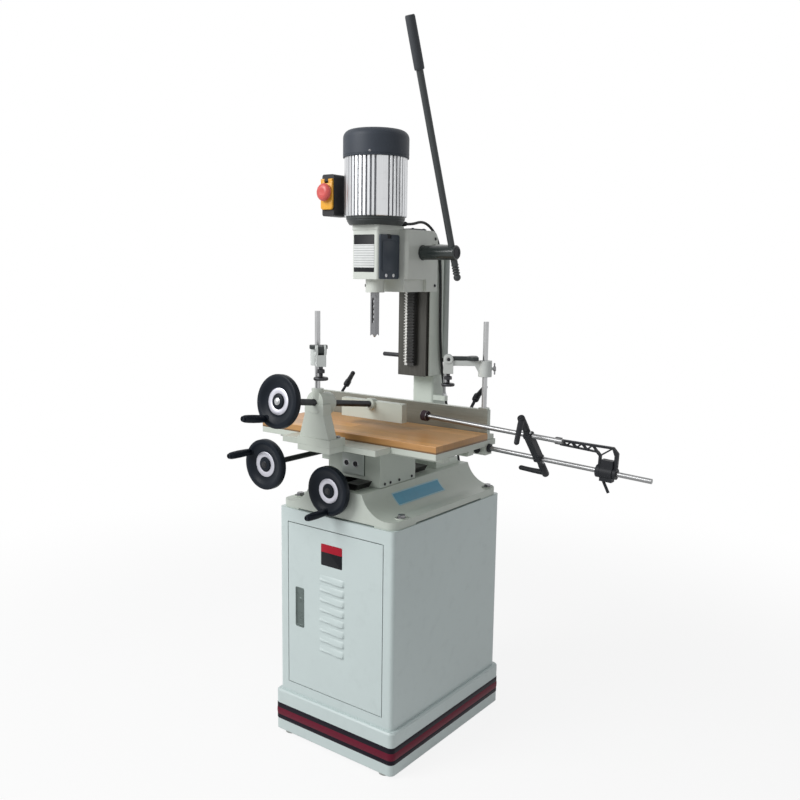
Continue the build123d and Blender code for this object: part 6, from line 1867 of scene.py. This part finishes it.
@dataclass
class Motor(Assembly):
    """The finned motor, its fan cover, and the chisel and auger below it."""

    axis_y: float = -87.0
    hood_r: float = 82.5
    hood_low: float = 1519.0
    hood_top: float = 1586.0
    hood_round: float = 20.0
    hood_t: float = 2.0
    facets: int = 96
    slots: int = 16
    slot_span: Flat = (0.25, 0.68)
    screw_turn: float = -62.0
    screw_up: float = 9.5
    fins: int = 8
    bell_top: float = 1370.0
    ring_r: float = 74.0
    ring_bore: float = 60.0
    fin_low: float = 1376.5
    fin_top: float = 1524.0
    switch_x: float = -84.0
    pad_size: Flat = (44.0, 76.0)
    pad_z: float = 1430.0
    bore_r: float = 66.0
    root_r: float = 72.0
    shoulder_r: float = 77.8
    tip_r: float = 79.0
    pad_turn: float = -40.0
    pad_half: float = 11.0
    fin_half: float = 2.6
    auger_r: float = 5.5
    auger_low: float = 1075.0
    auger_top: float = 1272.0
    auger_shank: float = 40.0
    auger_pitch: float = 26.0
    auger_sides: int = 24

    def axis(self) -> Matrix:
        """The motor's axis, at the floor's height."""
        return moved(0, self.axis_y, 0)

    def hood(self) -> Form:
        """The fan cover with its rolled edge, smooth crown and radial air slots.

        Returns:
            Its form.
        """
        r, low, top = self.hood_r, self.hood_low, self.hood_top
        inner, outer = self.slot_span
        profile = [(r - 0.6, low), (r, low + 0.8), (r, low + 4.0), (r - 0.6, low + 4.5), (r - 0.6, low + 5.5),
                   (r, low + 6.0)]
        for i in range(10):
            out, up = polar(1.0, 10 * i)
            profile.append((r - self.hood_round * (1 - out), top - self.hood_round * (1 - up)))
        profile += [(r * (outer + 0.02), top), (r * outer, top), (r * inner, top), (r * (inner - 0.03), top),
                    (0.0, top)]
        form = Form().turned(profile, self.axis(), self.facets)
        per = self.facets // self.slots
        gone = []
        for face in form.mesh.faces:
            middle = face.calc_center_median()
            reach = math.hypot(middle.x, middle.y - self.axis_y)
            turn = math.atan2(middle.y - self.axis_y, middle.x) % math.tau
            if r * inner < reach < r * outer and int(turn / math.tau * self.facets) % per in (2, 3):
                gone.append(face)
        bmesh.ops.delete(form.mesh, geom=gone, context="FACES")
        bmesh.ops.recalc_face_normals(form.mesh, faces=form.mesh.faces)
        bmesh.ops.solidify(form.mesh, geom=form.mesh.faces[:], thickness=self.hood_t)
        form.mesh.faces.sort(key=lambda face: face.calc_center_median().dot(FACE_ORDER))
        return form

    def outline(self) -> list[Flat]:
        """The fins' outline: in each quarter a wide pad and a row of fins.

        Returns:
            (degrees, radius) pairs.
        """
        ribs = [(0.0, self.pad_half, 9)]
        gap = (90 - 2 * self.pad_half - 2 * self.fin_half * self.fins) / (self.fins + 1)
        first = self.pad_half + gap + self.fin_half
        ribs += [(first + i * (2 * self.fin_half + gap), self.fin_half, 3) for i in range(self.fins)]
        pairs: list[Flat] = []
        for quarter in range(4):
            for middle, half, points in ribs:
                turn = self.pad_turn + 90 * quarter + middle
                reach = half - 0.5
                crown = [(turn + reach * (2 * s / (points - 1) - 1), self.tip_r) for s in range(points)]
                pairs += [(turn - half - 0.4, self.root_r), (turn - half, self.shoulder_r), *crown,
                          (turn + half, self.shoulder_r), (turn + half + 0.4, self.root_r)]
        return pairs

    def shell(self) -> Form:
        """The finned shell, open where the flange and the hood close it.

        Returns:
            Its form.
        """
        pairs = self.outline()

        def row(height: float, inset: float) -> list[Point]:
            """The outline at a height, drawn in."""
            return level([polar(radius - inset, turn) for turn, radius in pairs], height)

        low, top = self.fin_low, self.fin_top
        bore = [polar(self.bore_r, turn) for turn, _ in pairs]
        rows = [row(low, 1.2), row(low + 1.4, 0.0), row(top - 1.4, 0.0), row(top, 1.2), level(bore, top),
                level(bore, low)]
        return Form().rings(rows, self.axis(), loop=True)

    def bell_ring(self) -> Form:
        """The dark ring between the lower bell and the fins.

        Returns:
            Its form.
        """
        low, top = self.bell_top - 1.4, self.fin_low + 0.8
        r, bore = self.ring_r, self.ring_bore
        profile = [(bore, low), (r - 0.8, low), (r, low + 0.8), (r, top), (bore, top)]
        return Form().turned(profile, self.axis(), self.facets, True)

    def switch_pad(self) -> Form:
        """The flat pad on the shell that carries the switch box."""
        at = to_side(0, self.axis_y, self.pad_z)
        return Form().prism(rounded(*self.pad_size, 4.0, 4), self.switch_x - 0.2, -self.root_r, at, 0.6)

    def auger(self) -> Form:
        """The spiral bit inside the chisel.

        Returns:
            Its form.
        """
        rows = []
        low, top, sides = self.auger_low, self.auger_top, self.auger_sides
        count = int((top - low) / 2)
        for i in range(count + 1):
            z = low + (top - low) * i / count
            spin = 360 * (z - low) / self.auger_pitch
            row = []
            for k in range(sides):
                turn = 360 * k / sides
                flute = 0.34 * max(0.0, math.cos(2 * math.radians(turn))) ** 0.8
                depth = flute if z < top - self.auger_shank else 0.0
                radius = self.auger_r * (1 - depth) * min(1.0, 0.35 + (z - low) / 5.0)
                row.append((*polar(radius, turn + spin), z))
            rows.append(row)
        return Form().rings(rows, self.axis(), capped=True)

    def hood_screws(self) -> Form:
        """The four screws that hold the fan cover.

        Returns:
            Their form.
        """
        form = Form()
        for quarter in range(4):
            turn = self.screw_turn + 90 * quarter
            x, y = polar(self.hood_r, turn)
            at = moved(x, self.axis_y + y, self.hood_low + self.screw_up) @ spun("Z", turn)
            form.turned([(0, 0.2), (0.8, 0.3), (1.0, 1.0), (2.3, 0.9), (3.0, 0.4), (3.2, -0.6), (0, -1.0)],
                        at @ spun("Y", 90), 24)
        return form

    def build(self) -> None:
        """Fins, switch pad, bell ring, hood with its screws, chuck and bit."""
        self.paint(FIN_ALLOY, "motor_body")
        self.add("motor_fins", self.shell(), FIN_ALLOY, "head", Slot.ALUMINIUM, ["motor_body"], 20.0)
        self.add("switch_pad", self.switch_pad(), FIN_ALLOY, "head", Slot.ALUMINIUM)
        self.add("bell_ring", self.bell_ring(), LEVER_BLACK, "head", Slot.BLACK_PAINT, crease=40.0)
        self.paint(LEVER_BLACK, "motor_flange", "fan_cover")
        self.paint(TURNED_STEEL, "rotor", "chuck", "auger_bit")
        self.paint(BLUED_STEEL, "hollow_chisel")
        self.add("fan_hood", self.hood(), HOOD_BLACK, "head", Slot.BLACK_PAINT, ["fan_cover"], 40.0)
        self.add("hood_screws", self.hood_screws(), BOLT_STEEL, "head", Slot.STEEL)
        self.add("auger_spiral", self.auger(), TURNED_STEEL, "spindle", Slot.STEEL, ["auger_bit"], 50.0)


@dataclass
class Switch(Assembly):
    """The switch box with its hinged lid and red stop button."""

    middle_x: float = -103.5
    front: float = -150.0
    lid_t: float = 7.0
    gap: float = 0.4
    lid_w: float = 38.0
    lid_low: float = 1394.0
    lid_top: float = 1459.1
    pin_z: float = 1466.5
    lug_w: float = 12.0
    button_z: float = 1436.0
    button_r: float = 22.0
    button_t: float = 12.0
    button_gap: float = 6.0
    stem_r: float = 10.0

    def lid(self) -> Form:
        """A shield with rolled edges, a collar round the button and two hinge knuckles.

        Returns:
            Its form.
        """
        face = self.front - self.gap
        at = to_front(self.middle_x, face, (self.lid_low + self.lid_top) / 2)
        shield = rounded(self.lid_w, self.lid_top - self.lid_low, 6.0, 6)
        form = Form().prism(shield, 0.0, self.lid_t, at, 1.6)
        start = self.lug_w / 2 + self.gap
        wide = self.lid_w / 2 - start
        for side in (-1, 1):
            tab = to_front(self.middle_x + side * (start + wide / 2), face, self.pin_z - 5.5)
            form.prism(rounded(wide, 11.0, 1.2, 3), 0.6, self.lid_t - 0.6, tab, 0.8)
            knuckle = moved(self.middle_x + side * start, face - self.lid_t / 2, self.pin_z)
            form.turned([(2.1, 0.0), (3.3, 0.0), (3.5, 0.3), (3.5, wide - 0.5), (3.0, wide), (2.1, wide)],
                        knuckle @ spun("Y", 90 * side), 28, True)
        collar = to_front(self.middle_x, face - self.lid_t, self.button_z)
        return form.turned([(10.4, -0.6), (10.4, 0.9), (11.2, 1.3), (15.6, 1.3), (16.8, 0.7), (17.2, -0.6)],
                           collar, 48, True)

    def button(self) -> Form:
        """A mushroom button with a dished face and a finger rim.

        Returns:
            Its form.
        """
        under = self.front - self.gap - self.lid_t - self.button_gap
        at = to_front(self.middle_x, under, self.button_z)
        r, t, stem = self.button_r, self.button_t, self.stem_r
        foot = 5.0 - self.button_gap - self.lid_t
        cap = [(stem, foot), (stem, 0.0), (r - 2.6, 0.0), (r - 0.6, 0.8), (r, 2.4), (r - 0.2, 4.6),
               (r - 1.6, 7.2), (r - 4.2, 9.6), (r - 7.6, 11.2), (r - 11.5, t), (r - 15.0, t - 0.2),
               (0, t - 0.8)]
        return Form().turned(cap, at, 64).turned([(0, foot), (stem, foot)], at, 64)

    def build(self) -> None:
        """Box, lid and button."""
        self.paint(SWITCH_BLACK, "switch_box")
        self.paint(LID_YELLOW, "switch_lid")
        self.paint(BUTTON_RED, "stop_button")
        self.add("switch_shield", self.lid(), LID_YELLOW, "switch_lid", Slot.YELLOW, ["switch_lid"], 40.0)
        self.add("stop_mushroom", self.button(), BUTTON_RED, "stop_button", Slot.RED, ["stop_button"], 50.0)


@dataclass
class FeedLever(Assembly):
    """The feed pinion's hub, the lever, its grip and its knurled stub."""

    hub_end: float = 173.0
    flange_x: float = 67.2
    lever_x: float = 160.0
    axis_y: float = 25.0
    axis_z: float = 1291.0
    lean: float = 20.5
    bar_r: float = 8.5
    stub_l: float = 66.0
    stub_r: float = 9.5
    bead: float = 7.2
    reach: float = 559.6
    grip_l: float = 119.0
    grip_in: float = 2.0
    grip_r: float = 12.0
    hub_r: float = 18.5

    def along(self) -> Matrix:
        """The lever's frame, z towards its grip."""
        return moved(self.lever_x, self.axis_y, self.axis_z) @ spun("X", self.lean)

    def lever(self) -> Form:
        """Bar with its stub of stacked rings and ball end.

        Returns:
            Its form.
        """
        low, r = -self.stub_l, self.stub_r
        profile = [(0.0, low - r)]
        for i in range(1, 7):
            out, up = polar(r, 20 * i - 90)
            profile.append((out, low + up))
        z = low + 7.0
        while z < -self.hub_r - 14.0:
            profile += [(r - 3.0, z), (r - 3.2, z + 0.9), (r - 0.6, z + 2.6), (r, z + 4.0),
                        (r - 0.6, z + 5.4)]
            z += self.bead
        end = self.reach - self.grip_l + self.grip_in
        profile += [(self.bar_r, z + 1.0), (self.bar_r, end), (0, end)]
        return Form().turned(profile, self.along(), 36)

    def grip(self) -> Form:
        """Soft grip, a little thicker towards its mouth, closed by a flat end.

        Returns:
            Its form.
        """
        start, end, r = self.reach - self.grip_l, self.reach, self.grip_r
        profile = [(self.bar_r - 0.3, start), (r * 0.9, start + 0.3), (r * 0.98, start + 2.0),
                   (r, start + 8.0), (r, start + 60.0), (r * 0.985, end - 20.0), (r * 0.97, end - 5.0),
                   (r * 0.9, end - 1.4), (r * 0.8, end - 0.3), (0, end)]
        return Form().turned(profile, self.along(), 40)

    def build(self) -> None:
        """Lever, grip, end cap and the hub's flange."""
        self.paint(HUB_BLACK, "feed_hub")
        self.paint(LEVER_BLACK, "feed_lever")
        self.paint(TURNED_STEEL, "feed_pinion")
        self.add("lever_bar", self.lever(), BAR_BLACK, "feed", Slot.BLACK_PAINT, ["feed_lever"])
        self.add("lever_grip", self.grip(), GRIP_BLACK, "feed", Slot.BLACK_PAINT)
        disc = [(0, 0.15), (8.4, 0.15), (8.8, 0.4), (9.2, 1.2), (13.4, 1.2), (14.2, 0.6), (14.6, -0.4)]
        cap = Form().turned(disc, to_right(self.hub_end, self.axis_y, self.axis_z), 40)
        self.add("hub_cap", cap, STOP_BLACK, "feed", Slot.BLACK_PAINT)
        ring = Form().turned([(18.7, 0), (19.3, 0.0), (19.7, 0.5), (19.7, 2.2), (19.3, 2.7), (18.7, 2.7)],
                             to_right(self.flange_x, self.axis_y, self.axis_z), 48, True)
        self.add("hub_flange", ring, LEVER_BLACK, "head", Slot.BLACK_PAINT)


def handwheels(nodes: Nodes) -> list[Handwheel]:
    """The three handwheels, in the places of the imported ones."""
    vise = Vise(nodes).wheel_at()
    return [Handwheel(nodes, "cross", to_front(0, -262.0, 704.0), "cross_feed", "cross_grip", 267.0),
            Handwheel(nodes, "table", to_front(-122.0, -357.0, 770.0), "table_drive", "table_grip", 150.0),
            Handwheel(nodes, "vise", vise, "vise_feed", "vise_grip", 235.0, BRIGHT_STEEL)]


def hold_downs(nodes: Nodes) -> list[HoldDown]:
    """The rear hold-down on the fence and the front one on the vise."""
    return [HoldDown(nodes, "rear", moved(265.0, 24.5, 1005.0) @ spun("Z", 37.0)),
            HoldDown(nodes, "front", moved(0, -303.0, 1040.0) @ spun("Z", 137.0))]


def main() -> None:
    """Load the frame and dress it."""
    logging.basicConfig(level=logging.INFO, format="%(name)s %(message)s")
    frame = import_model()
    nodes = frame["nodes"]
    Studio().build()
    assemblies = [MainsCord(nodes), Cabinet(nodes), Door(nodes), BaseCasting(nodes), CrossSlide(nodes),
                  Table(nodes), Vise(nodes), *handwheels(nodes), Fence(nodes), *hold_downs(nodes),
                  WorkStops(nodes), Column(nodes), Head(nodes), Motor(nodes), Switch(nodes), FeedLever(nodes)]
    for assembly in assemblies:
        assembly.build()
        LOG.info("%s done", type(assembly).__name__)
    bpy.context.view_layer.update()


if __name__ == "__main__":
    main()
